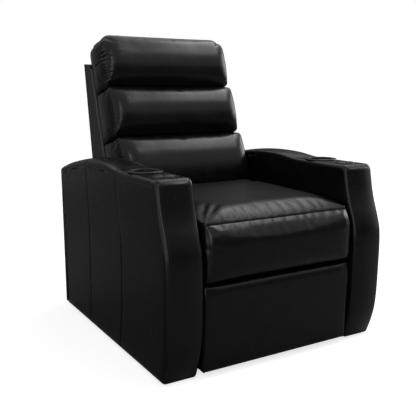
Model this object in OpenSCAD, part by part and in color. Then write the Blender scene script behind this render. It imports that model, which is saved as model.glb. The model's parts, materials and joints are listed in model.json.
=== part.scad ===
// Power recliner seat for a home cinema: two wide arms with cup holders, a back of three
// bolsters with a tilting head bolster, and a seat that slides forward on rollers while a
// scissor of parallel links swings the footrest out.
// Millimetres. +X is the sitter's left to right seen from the front, the front faces -Y, and
// the origin is on the floor under the middle of the seat.

/* [Overall] */
// Width over both arms
overall_w = 860; // [830:10:900]
// Depth over the arms at their widest bulge
overall_d = 1020; // [980:10:1060]
// Gap between the floor and the upholstery
floor_gap = 7; // [6:1:10]
// Height of the arm at its highest point
arm_h = 642; // [630:2:660]

/* [Arms] */
// Thickness of the padded outer side panel
side_t = 14; // [12:1:16]
// Thickness of the padded band over the top and front
band_t = 14; // [10:1:16]
// Rounding of the sewn outer edge
arm_edge_r = 11; // [6:1:12]
// Thickness of the timber in the arm frame
timber_t = 25; // [18:1:28]

/* [Cup holders and controls] */
// Radius of the cup well
cup_r = 43; // [40:0.5:44]
// Depth of the cup well below the rim
cup_depth = 80; // [60:1:84]
// Gap between the cup well's wall and the arm's side panels
cup_side_gap = 5; // [4:0.5:8]
// Width of the rim ring round the well
cup_rim_w = 16; // [10:1:18]
// Height of the rim above the arm
cup_rim_h = 5; // [4:0.5:8]
// Distance of the cup well from the front bulge
cup_from_front = 268; // [264:1:280]
// Length of the control plate across the arm
pad_len = 76; // [70:1:84]
// Width of the control plate
pad_w = 42; // [38:1:46]
// Distance of the control plate from the front bulge
pad_from_front = 136; // [124:1:142]
// Width of one button
button_w = 26; // [22:1:28]
// Travel of one button
button_travel = 1.5; // [1:0.1:2]

/* [Seat] */
// Gap between the seat and each arm
seat_gap = 9; // [7:0.5:12]
// Height of the front seam of the seat
seat_seam_z = 489; // [480:1:495]
// Height of the seat crown above its front seam
seat_crown = 33; // [20:1:38]
// Height of the seat's lower front edge
border_z = 309; // [304:1:312]
// Rise of the seat frame's underside above the floor
frame_z = 300; // [296:1:302]
// Height of the seat frame rails
seat_rail_h = 92; // [86:1:96]
// How far the seat slides forward
slide_travel = 100; // [80:5:100]

/* [Footrest] */
// Gap between the seat border and the footrest
foot_gap = 16; // [14:1:18]
// Thickness of the footrest pad
foot_pad_t = 60; // [50:1:62]
// Thickness of the footrest board
foot_board_t = 18; // [15:1:20]
// How far the footrest turns
foot_turn = 84; // [76:1:86]
// Length of the front and rear swing links between their pivots
swing_len = 152; // [146:1:156]
// Length by which the front swing link runs on past its middle pivot
swing_tail = 48; // [46:1:52]
// Length of the push links
push_len = 197.5; // [194:0.5:200]
// Width of a link strip
link_w = 20; // [16:1:21]
// Thickness of a link strip
link_t = 4; // [3:0.5:4]
// Radius of a link rivet
rivet_r = 5; // [4:0.5:6]

/* [Back] */
// Distance of the back's pivot behind the middle of the seat
back_pivot_y = 240; // [234:1:246]
// Lean of the closed back from upright, in degrees
back_lean = 18.3; // [16:0.1:20]
// Height of the head bolster's top above the middle of the back, along the back
head_top_s = 476; // [465:1:485]
// Depth of the head bolster at its seam
head_depth = 132; // [124:1:138]
// Depth of the mid bolster at its seam
mid_depth = 147; // [140:1:154]
// Depth of the lumbar bolster at its seam
lumbar_depth = 165; // [158:1:172]
// Gap on each side between the bolsters and the shell's edge
bolster_in = 6; // [3:1:12]
// How far the back reclines, in degrees
back_turn = 35; // [25:1:36]
// How far the head bolster tilts forward, in degrees
head_turn = 25; // [15:1:30]
// Thickness of the back's outer boards
shell_t = 12; // [9:1:14]

/* [Base] */
// Height of the glide feet under the base rails
foot_h = 20; // [20:1:22]
// Width of a base rail
rail_w = 30; // [26:1:32]
// Height of a base rail
rail_h = 30; // [26:1:32]
// Wall of the rails and channels
tube_t = 2.5; // [2:0.5:3]
// Height of the roller track
track_h = 36; // [34:1:38]
// Radius of the floor anchor holes
anchor_r = 5.5; // [4:0.5:7]
// Distance of the anchor holes from the side rails
anchor_in = 62; // [45:1:80]

/* [Hidden] */

$fn = 48;
// Clearance between faces that slide, and between a soft piece and what carries it
run = 0.3;
// Radial clearance of a rivet or axle in its hole
fit = 0.05;
// How far a cutter runs past the face that it cuts
over = 1;

leather = [0.035, 0.035, 0.038];
steel = [0.33, 0.34, 0.36];
zinc = [0.62, 0.63, 0.65];
black_steel = [0.09, 0.09, 0.10];
plywood = [0.66, 0.51, 0.34];
plastic = [0.07, 0.07, 0.075];
foam = [0.86, 0.82, 0.70];

// The arm is as wide as its cup holder and the panels beside it need
cup_wall = 2;
cup_out_r = cup_r + cup_wall;
arm_w = 2 * (cup_out_r + cup_side_gap + side_t);
inner_half = overall_w / 2 - arm_w;
seat_half = inner_half - seat_gap;
front_y = -overall_d / 2;
arm_mid_x = inner_half + arm_w / 2;
arm_top_share = 0.98;
arm_top_z = arm_h * arm_top_share;

cup_y = front_y + cup_from_front;
cup_rim_r = cup_r + cup_rim_w;

// The arm's side outline, in shares of half its depth and of its height: over the crown from
// the back top edge, and from the front corner out to the bulge and in to the floor. Between
// them the top is level under the cup holder's rim
crown_shares = [[0.853, 0.902], [0.588, 0.957], [0.235, 0.999], [-0.08, 1.004]];
front_shares = [[-0.80, 0.980], [-0.871, 0.980], [-0.886, 0.915], [-0.912, 0.815],
  [-0.972, 0.69], [-1, 0.61], [-0.996, 0.36], [-0.988, 0.20], [-0.958, 0.10]];
arm_foot_share = 0.913;
level_blend = 36;
smooth_steps = 2;

function mix(p, q, t) = p + (q - p) * t;
// Corner cutting of an open line, which keeps both ends
function cut_corners(p, n) = n == 0 ? p : cut_corners(concat([p[0]],
  [for (i = [0 : len(p) - 2]) each [mix(p[i], p[i + 1], i == 0 ? 0.5 : 0.25),
    mix(p[i], p[i + 1], i == len(p) - 2 ? 0.5 : 0.75)]], [p[len(p) - 1]]), n - 1);
function unit(v) = v / norm(v);
function left_of(v) = [-v[1], v[0]];
// A closed outline that runs counter-clockwise, moved inwards
function inset(p, d) = [for (i = [0 : len(p) - 1])
  let (a = p[(i + len(p) - 1) % len(p)], b = p[i], c = p[(i + 1) % len(p)],
    m = left_of(unit(b - a)), n = left_of(unit(c - b))) b + d * (m + n) / (1 + m * n)];
function flip(p) = [for (i = [len(p) - 1 : -1 : 0]) p[i]];

half_d = overall_d / 2;
level_end_y = cup_y + cup_rim_r;
function at_share(p) = [p[0] * half_d, p[1] * arm_h];
arm_line = cut_corners(concat([for (p = crown_shares) at_share(p)],
  [[level_end_y + level_blend, arm_top_z], [level_end_y - level_blend, arm_top_z]],
  [for (p = front_shares) at_share(p)]), smooth_steps);
arm_back_y = crown_shares[0][0] * half_d;
function arm_outline(low) = concat([[arm_back_y, low]],
  [for (p = arm_line) [p[0], max(p[1], low)]], [[-arm_foot_share * half_d, low]]);

// Skin over rings of equally many points, with a flat cap on each end
module loft(rings) {
  n = len(rings[0]);
  m = len(rings);
  sides = [for (i = [0 : m - 2]) for (j = [0 : n - 1])
    let (a = i * n + j, b = i * n + n + j, c = i * n + n + (j + 1) % n, d = i * n + (j + 1) % n)
    each [[a, b, c], [a, c, d]]];
  polyhedron([for (r = rings) each r], concat([[for (j = [0 : n - 1]) j]], sides,
    [[for (j = [n - 1 : -1 : 0]) (m - 1) * n + j]]));
}

function ring_at(x, outline) = [for (p = outline) [x, p[0], p[1]]];
// A board with its edge rounded on the side of x_far
module rounded_board(x_near, x_far, outline, r, steps = 3) {
  dir = sign(x_far - x_near);
  rings = concat([ring_at(x_near, outline)], [for (k = [steps : -1 : 0])
    let (t = 90 * k / steps)
    ring_at(x_far - dir * r * (1 - cos(t)), inset(outline, r * (1 - sin(t))))]);
  loft(dir > 0 ? rings : flip(rings));
}

module both() {
  children();
  mirror([1, 0, 0]) children();
}
module on_side(side) {
  if (side > 0) children();
  else mirror([1, 0, 0]) children();
}
// A flat outline in Y and Z, raised along X from x by t
module plate_x(x, t) {
  translate([x, 0, 0]) rotate([90, 0, 90]) linear_extrude(t) children();
}
module pin_x(x, len, r, at) {
  translate([x, at[0], at[1]]) rotate([0, 90, 0]) cylinder(h = len, r = r);
}
// A stamped link strip with an eye at each end, a little wider than the bar between them
bar_share = 0.86;
module strip(p, q, w) {
  d = q - p;
  bar_w = w * bar_share;
  translate(p) circle(d = w);
  translate(q) circle(d = w);
  translate(p) rotate(atan2(d[1], d[0])) translate([0, -bar_w / 2]) square([norm(d), bar_w]);
}
module box(lo, hi) {
  translate(lo) cube(hi - lo);
}
// A square tube between two corners, open along the given axis
module tube(lo, hi, t, open) {
  e = [for (i = [0 : 2]) i == open ? -over : t];
  difference() {
    box(lo, hi);
    box(lo + e, hi - e);
  }
}

// Base rails, cross tubes and feet

rail_gap = 10;
rail_out_x = inner_half - rail_gap;
rail_in_x = rail_out_x - rail_w;
rail_z = foot_h;
rail_top = rail_z + rail_h;
seat_front_y = front_y + seat_gap;
foot_stack = foot_pad_t + foot_board_t;
rail_front_room = 26;
rail_front_y = seat_front_y + foot_stack + rail_front_room;
rail_rear_room = 110;
rail_rear_y = half_d - rail_rear_room;
cross_w = 30;
front_cross_in = 95;
front_cross_y = rail_front_y + front_cross_in;
mid_cross_ahead = 150;
mid_cross_y = back_pivot_y - mid_cross_ahead;
rear_cross_in = 60;
rear_cross_y = rail_rear_y - rear_cross_in;
anchor_x = rail_in_x - anchor_in;
cross_ys = [front_cross_y, mid_cross_y, rear_cross_y];
foot_r = 18;
foot_stem_r = 9;
foot_pad_h = 4;
foot_inset = 35;
arm_low = floor_gap;

module base_side_rails() {
  color(black_steel) both()
    tube([rail_in_x, rail_front_y, rail_z], [rail_out_x, rail_rear_y, rail_top], tube_t, 1);
}

module base_cross_tubes() {
  color(black_steel) for (y = cross_ys) difference() {
    tube([-rail_in_x, y - cross_w / 2, rail_z], [rail_in_x, y + cross_w / 2, rail_top],
      tube_t, 0);
    if (y != mid_cross_y) for (x = [-anchor_x, anchor_x])
      translate([x, y, rail_z - over]) cylinder(h = rail_h + 2 * over, r = anchor_r);
  }
}

module glide_foot(x, y, h) {
  translate([x, y, 0]) {
    cylinder(h = foot_pad_h, r = foot_r);
    translate([0, 0, foot_pad_h]) cylinder(h = h - foot_pad_h, r = foot_stem_r);
  }
}

module glide_feet() {
  color(plastic) both() {
    for (y = [rail_front_y + foot_inset, rail_rear_y - foot_inset])
      glide_foot(mix(rail_in_x, rail_out_x, 0.5), y, rail_z);
    for (y = [-half_d * arm_foot_share + 2 * foot_inset, arm_back_y - 2 * foot_inset])
      glide_foot(arm_mid_x, y, arm_low);
  }
}

track_in = 3;
track_out_x = rail_out_x - track_in;
track_end = 8;
track_t = 3;
roller_z = rail_top + track_h / 2;
roller_r = track_h / 2 - track_t - run;

module slide_tracks() {
  color(zinc) both() difference() {
    box([rail_in_x, rail_front_y + track_end, rail_top],
      [track_out_x, rail_rear_y - track_end, rail_top + track_h]);
    box([rail_in_x - over, rail_front_y, rail_top + track_t],
      [track_out_x - track_t, rail_rear_y, rail_top + track_h - track_t]);
  }
}

// Arms

frame_in_x = inner_half + shell_t;
frame_out_x = overall_w / 2 - side_t;
bracket_t = 4;
bracket_top = rail_top + bracket_t;
cup_top_z = arm_top_z + cup_rim_h;
cup_low_z = cup_top_z - cup_depth - cup_wall;
pad_y = front_y + pad_from_front;
pad_t = 4;
pad_lip = 6;
housing_len = pad_len - 2 * pad_lip;
housing_w = pad_w - 2 * pad_lip;
housing_h = 24;
arm_front_in = 58;
arm_rear_in = band_t + run;

module arm_frame_parts() {
  difference() {
    arm_timbers();
    bolt_holes();
  }
}
module arm_timbers() {
  lo_y = -half_d * arm_foot_share + arm_front_in;
  hi_y = arm_back_y - arm_rear_in;
  x = [frame_in_x + run, frame_out_x - run];
  shelf = cup_low_z - run;
  box([x[0], lo_y, arm_low], [x[1], hi_y, rail_top]);
  box([x[0], hi_y - timber_t, rail_top], [x[1], hi_y, shelf - timber_t]);
  box([x[0], lo_y, rail_top], [x[1], lo_y + timber_t, shelf - timber_t]);
  box([x[0], -timber_t / 2, rail_top], [x[1], timber_t / 2, shelf - timber_t]);
  box([x[0], lo_y, shelf - timber_t], [x[1], hi_y, shelf]);
}

module left_arm_frame() {
  color(plywood) on_side(-1) arm_frame_parts();
}
module right_arm_frame() {
  color(plywood) on_side(1) arm_frame_parts();
}

module outer_panel() {
  rounded_board(frame_out_x, overall_w / 2, arm_outline(arm_low), arm_edge_r);
}
module left_arm_outer_panel() {
  color(leather) on_side(-1) outer_panel();
}
module right_arm_outer_panel() {
  color(leather) on_side(1) outer_panel();
}

inner_edge_r = arm_edge_r * 0.7;
module inner_panel() {
  rounded_board(frame_in_x, inner_half, arm_outline(bracket_top), inner_edge_r);
}
module left_arm_inner_panel() {
  color(leather) on_side(-1) inner_panel();
}
module right_arm_inner_panel() {
  color(leather) on_side(1) inner_panel();
}

module arm_band() {
  outer = arm_outline(arm_low);
  inner = [for (p = inset(outer, band_t))
    [p[0], p[1] < arm_low + band_t + run ? arm_low : p[1]]];
  difference() {
    plate_x(frame_in_x, frame_out_x - frame_in_x) polygon(concat(outer, flip(inner)));
    translate([arm_mid_x, cup_y, arm_top_z / 2])
      cylinder(h = arm_top_z, r = cup_out_r + run);
    box([arm_mid_x - housing_len / 2 - run, pad_y - housing_w / 2 - run, arm_top_z / 2],
      [arm_mid_x + housing_len / 2 + run, pad_y + housing_w / 2 + run, arm_top_z + over]);
  }
}
module left_arm_band() {
  color(leather) on_side(-1) arm_band();
}
module right_arm_band() {
  color(leather) on_side(1) arm_band();
}

module cup_holder() {
  lip = cup_rim_h / 3;
  translate([arm_mid_x, cup_y, 0]) rotate_extrude() polygon([
    [0, cup_low_z], [cup_out_r, cup_low_z], [cup_out_r, arm_top_z + run],
    [cup_rim_r, arm_top_z + run], [cup_rim_r, cup_top_z - lip],
    [cup_rim_r - lip, cup_top_z], [cup_rim_r - 3 * lip, cup_top_z],
    [cup_rim_r - 4 * lip, cup_top_z - lip], [cup_r + lip, cup_top_z - lip],
    [cup_r, cup_top_z - 2 * lip], [cup_r, cup_low_z + cup_wall], [0, cup_low_z + cup_wall]]);
}
module left_cup_holder() {
  color(plastic) on_side(-1) cup_holder();
}
module right_cup_holder() {
  color(plastic) on_side(1) cup_holder();
}

module pill(len, w) {
  square([len - w, w], center = true);
  for (i = [-1, 1]) translate([i * (len - w) / 2, 0]) circle(d = w);
}
button_l = button_w;
button_share = 0.8;
button_d = button_w * button_share;
button_x = (pad_len - pad_w) / 2;
button_rise = 2.4;
button_well_share = 0.4;
button_floor = arm_top_z - housing_h * button_well_share;
module button_pill(grow) {
  pill(button_l + 2 * grow, button_d + 2 * grow);
}

module control_plate() {
  translate([arm_mid_x, pad_y, 0]) difference() {
    union() {
      translate([0, 0, arm_top_z + run]) linear_extrude(pad_t) pill(pad_len, pad_w);
      box([-housing_len / 2, -housing_w / 2, arm_top_z - housing_h],
        [housing_len / 2, housing_w / 2, arm_top_z + run]);
    }
    for (i = [-1, 1]) translate([i * button_x, 0, button_floor])
      linear_extrude(housing_h) button_pill(run);
  }
}
module left_control_plate() {
  color(plastic) on_side(-1) control_plate();
}
module right_control_plate() {
  color(plastic) on_side(1) control_plate();
}

// Places a button at its end of a control plate: side of the seat, then outer or inner end
module button(side, end) {
  base_z = button_floor + button_travel + run;
  color(zinc) on_side(side) translate([arm_mid_x + end * button_x, pad_y, base_z])
    linear_extrude(arm_top_z + pad_t + button_rise - base_z) button_pill(0);
}
module left_outer_button() button(-1, 1);
module left_inner_button() button(-1, -1);
module right_outer_button() button(1, 1);
module right_inner_button() button(1, -1);

front_bracket_in = 60;
rear_bracket_ahead = 50;
bracket_ys = [rail_front_y + front_bracket_in, back_pivot_y - rear_bracket_ahead];
bracket_w = 60;
bracket_reach = 40;
bolt_r = 4;
bolt_head_r = 7;
bolt_head_h = 5;

bolt_grip = 18;
bolt_x = frame_in_x + bracket_reach / 2;

module arm_brackets() {
  color(black_steel) both() for (y = bracket_ys) difference() {
    box([track_out_x, y - bracket_w / 2, rail_top],
      [frame_in_x + bracket_reach, y + bracket_w / 2, bracket_top]);
    translate([bolt_x, y, rail_top - over])
      cylinder(h = bracket_t + 2 * over, r = bolt_r + fit);
  }
}

module bolt_holes() {
  for (y = bracket_ys) translate([bolt_x, y, rail_top - bolt_grip])
    cylinder(h = bolt_grip + over, r = bolt_r + fit);
}

module arm_bolts() {
  color(zinc) both() for (y = bracket_ys) translate([bolt_x, y, 0]) {
    translate([0, 0, rail_top - bolt_grip])
      cylinder(h = bolt_grip + bracket_t, r = bolt_r);
    translate([0, 0, bracket_top]) cylinder(h = bolt_head_h, r = bolt_head_r, $fn = 6);
  }
}

// Seat carriage: side plates on rollers, with the pivots of the links and of the back

plate_gap = 12;
plate_t = 4;
plate_out_x = rail_in_x - plate_gap;
plate_in_x = plate_out_x - plate_t;
layer_gap = 1;
layer_step = link_t + layer_gap;
swing_x = plate_in_x - layer_step;
push_x = swing_x - layer_step;
bracket_x = push_x - layer_step;

front_pivot_in = 191;
front_pivot_drop = 16;
front_pivot = [seat_front_y + front_pivot_in, frame_z - front_pivot_drop];
pivot_pitch = [55, -21];
rear_pivot = front_pivot + pivot_pitch;
swing_closed = -71;
push_angle = 139;
function polar(r, a) = [r * cos(a), r * sin(a)];
mid_joint = front_pivot + polar(swing_len, swing_closed);
low_joint = front_pivot + polar(swing_len + swing_tail, swing_closed);
rear_joint = rear_pivot + polar(swing_len, swing_closed);
foot_joint = mid_joint + polar(push_len, push_angle);
foot_low_joint = low_joint + polar(push_len, push_angle);

front_roller_behind = 70;
rear_roller_ahead = 30;
front_roller_y = front_cross_y + front_roller_behind;
rear_roller_y = back_pivot_y - rear_roller_ahead;
back_pivot_rise = 55;
back_pivot = [back_pivot_y, frame_z + back_pivot_rise];
drive_ahead = 180;
drive_at = [back_pivot_y - drive_ahead, frame_z / 2];
axle_r = 5;
back_pin_r = 7;
plate_rail_gap = 6;
plate_low_z = rail_top + plate_rail_gap;
plate_lug_r = 20;
plate_bar = 38;
flange_w = 36;
flange_rear_ahead = 50;
flange_rear_y = back_pivot[0] - flange_rear_ahead;
seat_frame_in = 63;
seat_frame_front_y = seat_front_y + seat_frame_in;
heel_out = 2;
heel_share = 0.6;
window_in = 40;

module side_plate_outline() {
  ry = rear_roller_y + plate_lug_r;
  difference() {
    union() {
      polygon([[front_roller_y - plate_lug_r, plate_low_z], [ry, plate_low_z],
        [back_pivot[0] + heel_out, frame_z * heel_share], [back_pivot[0] + plate_lug_r, back_pivot[1]],
        [back_pivot[0] - plate_lug_r, back_pivot[1]], [flange_rear_y, frame_z],
        [front_pivot[0] - plate_lug_r, frame_z],
        [front_pivot[0] - plate_lug_r, front_pivot[1] - plate_lug_r],
        [front_roller_y - plate_lug_r, roller_z + plate_bar]]);
      translate(back_pivot) circle(r = plate_lug_r);
    }
    window_z = [roller_z + plate_bar, frame_z - 2 * plate_bar];
    for (w = [[front_roller_y + window_in, drive_at[0] - plate_lug_r],
        [drive_at[0] + plate_lug_r, ry - plate_bar]])
      translate([w[0], window_z[0]]) square([w[1] - w[0], window_z[1] - window_z[0]]);
  }
}

module side_plates() {
  color(steel) both() {
    plate_x(plate_in_x, plate_t) side_plate_outline();
    box([plate_out_x, front_pivot[0] - plate_lug_r, frame_z - plate_t],
      [plate_out_x + flange_w, flange_rear_y, frame_z]);
  }
}

roller_w = 14;
roller_side_gap = 4;
roller_x = track_out_x - track_t - roller_w - roller_side_gap;
collar_lip = 3;
cap_t = 2;
cap_lip = 2;
module roller_axles() {
  color(zinc) both() for (y = [front_roller_y, rear_roller_y]) {
    pin_x(plate_out_x, roller_x + roller_w + run - plate_out_x, axle_r, [y, roller_z]);
    pin_x(plate_out_x, roller_x - run - plate_out_x, axle_r + collar_lip, [y, roller_z]);
    pin_x(roller_x + roller_w + run, cap_t, axle_r + cap_lip, [y, roller_z]);
  }
}

module roller(y) {
  bead = 2;
  both() translate([roller_x, y, roller_z]) rotate([0, 90, 0]) rotate_extrude() polygon([
    [axle_r + fit, 0], [roller_r - bead, 0], [roller_r, bead], [roller_r, roller_w - bead],
    [roller_r - bead, roller_w], [axle_r + fit, roller_w]]);
}
module front_rollers() {
  color(plastic) roller(front_roller_y);
}
module rear_rollers() {
  color(plastic) roller(rear_roller_y);
}

head_t = 2;
head_lip = 2;
head_r = rivet_r + head_lip;
module link_pivot_pins() {
  color(zinc) both() for (p = [front_pivot, rear_pivot]) {
    pin_x(swing_x, plate_in_x - swing_x, rivet_r, p);
    pin_x(plate_out_x, head_t, head_r, p);
  }
}

back_bracket_t = 4;
bracket_side_gap = 1.5;
back_bracket_x = plate_out_x + bracket_side_gap;
pin_head_lip = 4;
module back_pivot_pins() {
  color(zinc) both() {
    pin_x(plate_out_x, back_bracket_x + back_bracket_t + 2 * run - plate_out_x, back_pin_r,
      back_pivot);
    pin_x(back_bracket_x + back_bracket_t + run, head_t, back_pin_r + pin_head_lip,
      back_pivot);
  }
}

seat_rail_w = 20;
rail_side_gap = 2;
seat_rail_x = plate_out_x + rail_side_gap;
seat_top_z = frame_z + seat_rail_h;
module seat_side_rails() {
  color(plywood) both() box([seat_rail_x, seat_frame_front_y, frame_z],
    [seat_rail_x + seat_rail_w, flange_rear_y, seat_top_z]);
}
cross_rail_lift = 18;
module seat_cross_rails() {
  color(plywood) {
    box([-seat_rail_x - seat_rail_w, seat_frame_front_y - seat_rail_w, frame_z + cross_rail_lift],
      [seat_rail_x + seat_rail_w, seat_frame_front_y, seat_top_z]);
    box([-seat_rail_x, flange_rear_y - seat_rail_w, frame_z + cross_rail_lift],
      [seat_rail_x, flange_rear_y, seat_top_z]);
  }
}

spring_d = 3.5;
spring_pitch = 38;
spring_amp = 24;
spring_end = 10;
spring_turn = 30;
// Share of the half width between two springs of a row of five
spring_row_share = 0.4;
// A sinuous spring laid flat along Y: straight legs joined by round bends
function sinuous_line(len, amp, pitch) =
  let (n = floor((len - 2 * spring_end) / pitch) + 1, step = (len - 2 * spring_end) / (n - 1),
    r = step / 2, leg = amp - r)
  concat([[-leg, spring_end]], [for (k = [0 : n - 2]) let (s = k % 2 == 0 ? 1 : -1)
    each [for (a = [-90 : spring_turn : 90])
      [s * (leg + r * cos(a)), spring_end + (k + 0.5) * step + r * sin(a)]]],
    [[((n - 1) % 2 == 0 ? 1 : -1) * leg, len - spring_end]]);
function ribbon(line, w) = let (m = len(line) - 1,
    side = [for (i = [0 : m]) left_of(unit(line[min(i + 1, m)] - line[max(i - 1, 0)])) * w / 2])
  concat([for (i = [0 : m]) line[i] + side[i]], [for (i = [m : -1 : 0]) line[i] - side[i]]);
module sinuous(len) {
  linear_extrude(spring_d) polygon(ribbon(sinuous_line(len, spring_amp, spring_pitch), spring_d));
}

module seat_springs() {
  y0 = seat_frame_front_y - seat_rail_w;
  color(steel) for (k = [-2 : 2]) translate([k * seat_rail_x * spring_row_share, y0, seat_top_z])
    sinuous(flange_rear_y - y0);
}

// Upholstery. A padded form is a skin over cross sections in Y and Z along X, drawn in at its
// side seams, with its crown growing from the seam to the middle

half_stations = 8;
crown_steps = 10;
stations = [for (k = [-half_stations : half_stations]) sin(90 * k / half_stations)];
// How full a form is at share u of its half width, and how its crown bows along share t
side_power = 8;
bow_power = 2.4;
bow_soften = 0.72;
function full(u) = sqrt(max(1 - pow(abs(u), side_power), 0));
function bow(t) = pow(max(1 - pow(abs(2 * t - 1), bow_power), 0), bow_soften);

cushion_t = 34;
foam_top_z = seat_seam_z - cushion_t;
seat_rear_ahead = 158;
seat_rear_y = back_pivot_y - seat_rear_ahead;
foam_low_z = seat_top_z + spring_d + run;
border_t = 42;
border_bulge = 7;
border_back_y = seat_front_y + border_t;
foam_end_gap = 1;
foam_rear_in = 5;
module seat_foam() {
  color(foam) box([-seat_half + seat_gap, border_back_y + foam_end_gap, foam_low_z],
    [seat_half - seat_gap, seat_rear_y - foam_rear_in, foam_top_z]);
}

seam_in = 10;
seat_seam_y = seat_front_y + seam_in;
seat_side_drop = 20;
seat_side_in = 6;
seat_edge_in = 3;
seat_rear_rise = 10;
seat_rear_roll = 24;
seat_roll_share = 0.7;
// The crown rolls quickly over the front seam and runs out flatter towards the back
roll_power = 0.85;
rear_crown_share = 0.3;
// One cross section of the seat cushion at share u of its half width: its front seam meets
// the border, and its crown rolls over behind the seam
function seat_ring(u) = let (e = full(u), drop = seat_side_drop * (1 - e),
    top = seat_seam_z + seat_rear_rise * e)
  ring_at(seat_half * u, concat(
    [[border_back_y, foam_top_z + run], [seat_rear_y, foam_top_z + run],
      [seat_rear_y, top - drop],
      [seat_rear_y - seat_rear_roll, top - drop + seat_crown * seat_roll_share * e]],
    [for (k = [1 : crown_steps]) let (t = k / (crown_steps + 1))
      [mix(seat_rear_y, seat_seam_y, pow(t, roll_power)),
        mix(top - drop, seat_seam_z, t)
          + seat_crown * e * bow(mix(rear_crown_share, 1, t))]],
    [[seat_seam_y + seat_edge_in * (1 - e), seat_seam_z - seat_edge_in * (1 - e)]]));
module seat_cushion() {
  color(leather) loft([for (u = stations) seat_ring(u)]);
}

// One cross section of the upholstered border under the seat's front seam
function border_ring(u) = let (e = full(u), x = seat_half * u)
  ring_at(x, concat(
    [[border_back_y, border_z + seat_edge_in * (1 - e)], [border_back_y, foam_top_z]],
    [for (k = [0 : crown_steps]) let (t = k / crown_steps)
      [mix(seat_seam_y, seat_front_y, sqrt(t)) - border_bulge * e * bow(t)
        + mix(seat_edge_in, seat_side_in, t) * (1 - e),
        mix(seat_seam_z - 2 * run - seat_edge_in * (1 - e), border_z, t)
          + seat_edge_in * (1 - e) * t]]));
module seat_front_border() {
  color(leather) loft([for (u = stations) border_ring(u)]);
}

drive_tube_r = 11;
screw_drop = 35;
screw_z = frame_z / 2 - screw_drop;
screw_r = 8;
slider_w = 31;
slider_len = 40;
slider_h = 26;
module drive_tube() {
  color(steel) {
    pin_x(-plate_in_x, 2 * plate_in_x, drive_tube_r, drive_at);
    for (x = [-1, 1]) translate([x * slider_w / 4 - plate_t / 2, 0, 0])
      box([0, drive_at[0] - slider_len / 4, screw_z + slider_h / 2],
        [plate_t, drive_at[0] + slider_len / 4, drive_at[1]]);
  }
}
module slider_block() {
  color(plastic) difference() {
    box([-slider_w / 2, drive_at[0] - slider_len / 2, screw_z - slider_h / 2],
      [slider_w / 2, drive_at[0] + slider_len / 2, screw_z + slider_h / 2]);
    translate([0, drive_at[0] - slider_len, screw_z]) rotate([-90, 0, 0])
      cylinder(h = 2 * slider_len, r = screw_r + fit);
  }
}

// Actuator on the base: gearbox, motor, guide rail and lead screw

gearbox_behind = 18;
gearbox_front_y = front_cross_y + gearbox_behind;
gearbox_len = 72;
gearbox_w = 60;
gearbox_lift = 20;
gearbox_low_z = rail_top + gearbox_lift;
gearbox_head = 34;
gearbox_top_z = screw_z + gearbox_head;
guide_h = 12;
rail_low_z = screw_z - slider_h / 2 - run - guide_h;
rail_end_room = 5;
actuator_end_y = mid_cross_y + cross_w / 2 + rail_end_room;
end_wall_t = 8;
screw_end = 4;
motor_r = 24;
motor_len = 88;
motor_y = gearbox_front_y + gearbox_len / 2;
motor_drop = 8;
motor_z = screw_z - motor_drop;
tab_drop = 8;

module actuator_gearbox() {
  y1 = gearbox_front_y + gearbox_len;
  r = 8;
  color(plastic) translate([-gearbox_w / 2, 0, 0]) plate_x(0, gearbox_w) {
    translate([gearbox_front_y, gearbox_low_z + r]) square([gearbox_len, gearbox_top_z
      - gearbox_low_z - 2 * r]);
    translate([gearbox_front_y + r, gearbox_low_z]) square([gearbox_len - 2 * r,
      gearbox_top_z - gearbox_low_z]);
    for (y = [gearbox_front_y + r, y1 - r], z = [gearbox_low_z + r, gearbox_top_z - r])
      translate([y, z]) circle(r = r);
  }
}
module actuator_motor() {
  end_t = 6;
  color(zinc) {
    pin_x(gearbox_w / 2, motor_len, motor_r, [motor_y, motor_z]);
    pin_x(gearbox_w / 2 + motor_len, end_t, motor_r / 2, [motor_y, motor_z]);
  }
}
module actuator_rail() {
  y0 = gearbox_front_y + gearbox_len;
  lip = 3;
  color(zinc) {
    difference() {
      box([-slider_w / 2, y0, rail_low_z], [slider_w / 2, actuator_end_y, rail_low_z + guide_h]);
      box([-slider_w / 2 + lip, y0 - over, rail_low_z - over],
        [slider_w / 2 - lip, actuator_end_y + over, rail_low_z + guide_h - lip]);
    }
    difference() {
      box([-slider_w / 2, actuator_end_y - end_wall_t, rail_low_z + guide_h],
        [slider_w / 2, actuator_end_y, screw_z + slider_h / 2]);
      translate([0, actuator_end_y - end_wall_t - over, screw_z]) rotate([-90, 0, 0])
        cylinder(h = end_wall_t + 2 * over, r = screw_r + fit);
    }
  }
}
module lead_screw() {
  y0 = gearbox_front_y + gearbox_len;
  color(steel) translate([0, y0, screw_z]) rotate([-90, 0, 0])
    cylinder(h = actuator_end_y + screw_end - y0, r = screw_r);
}
module actuator_mounts() {
  color(black_steel) {
    box([-slider_w / 2, mid_cross_y - cross_w / 2, rail_top],
      [slider_w / 2, mid_cross_y + cross_w / 2, rail_low_z]);
    box([-gearbox_w / 2, front_cross_y - cross_w / 2, rail_top],
      [gearbox_w / 2, front_cross_y + cross_w / 2, rail_top + plate_t]);
    for (x = [-gearbox_w / 2, gearbox_w / 2 - plate_t])
      box([x, front_cross_y, rail_top + plate_t],
        [x + plate_t, gearbox_front_y, gearbox_top_z - tab_drop]);
  }
}

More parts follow.
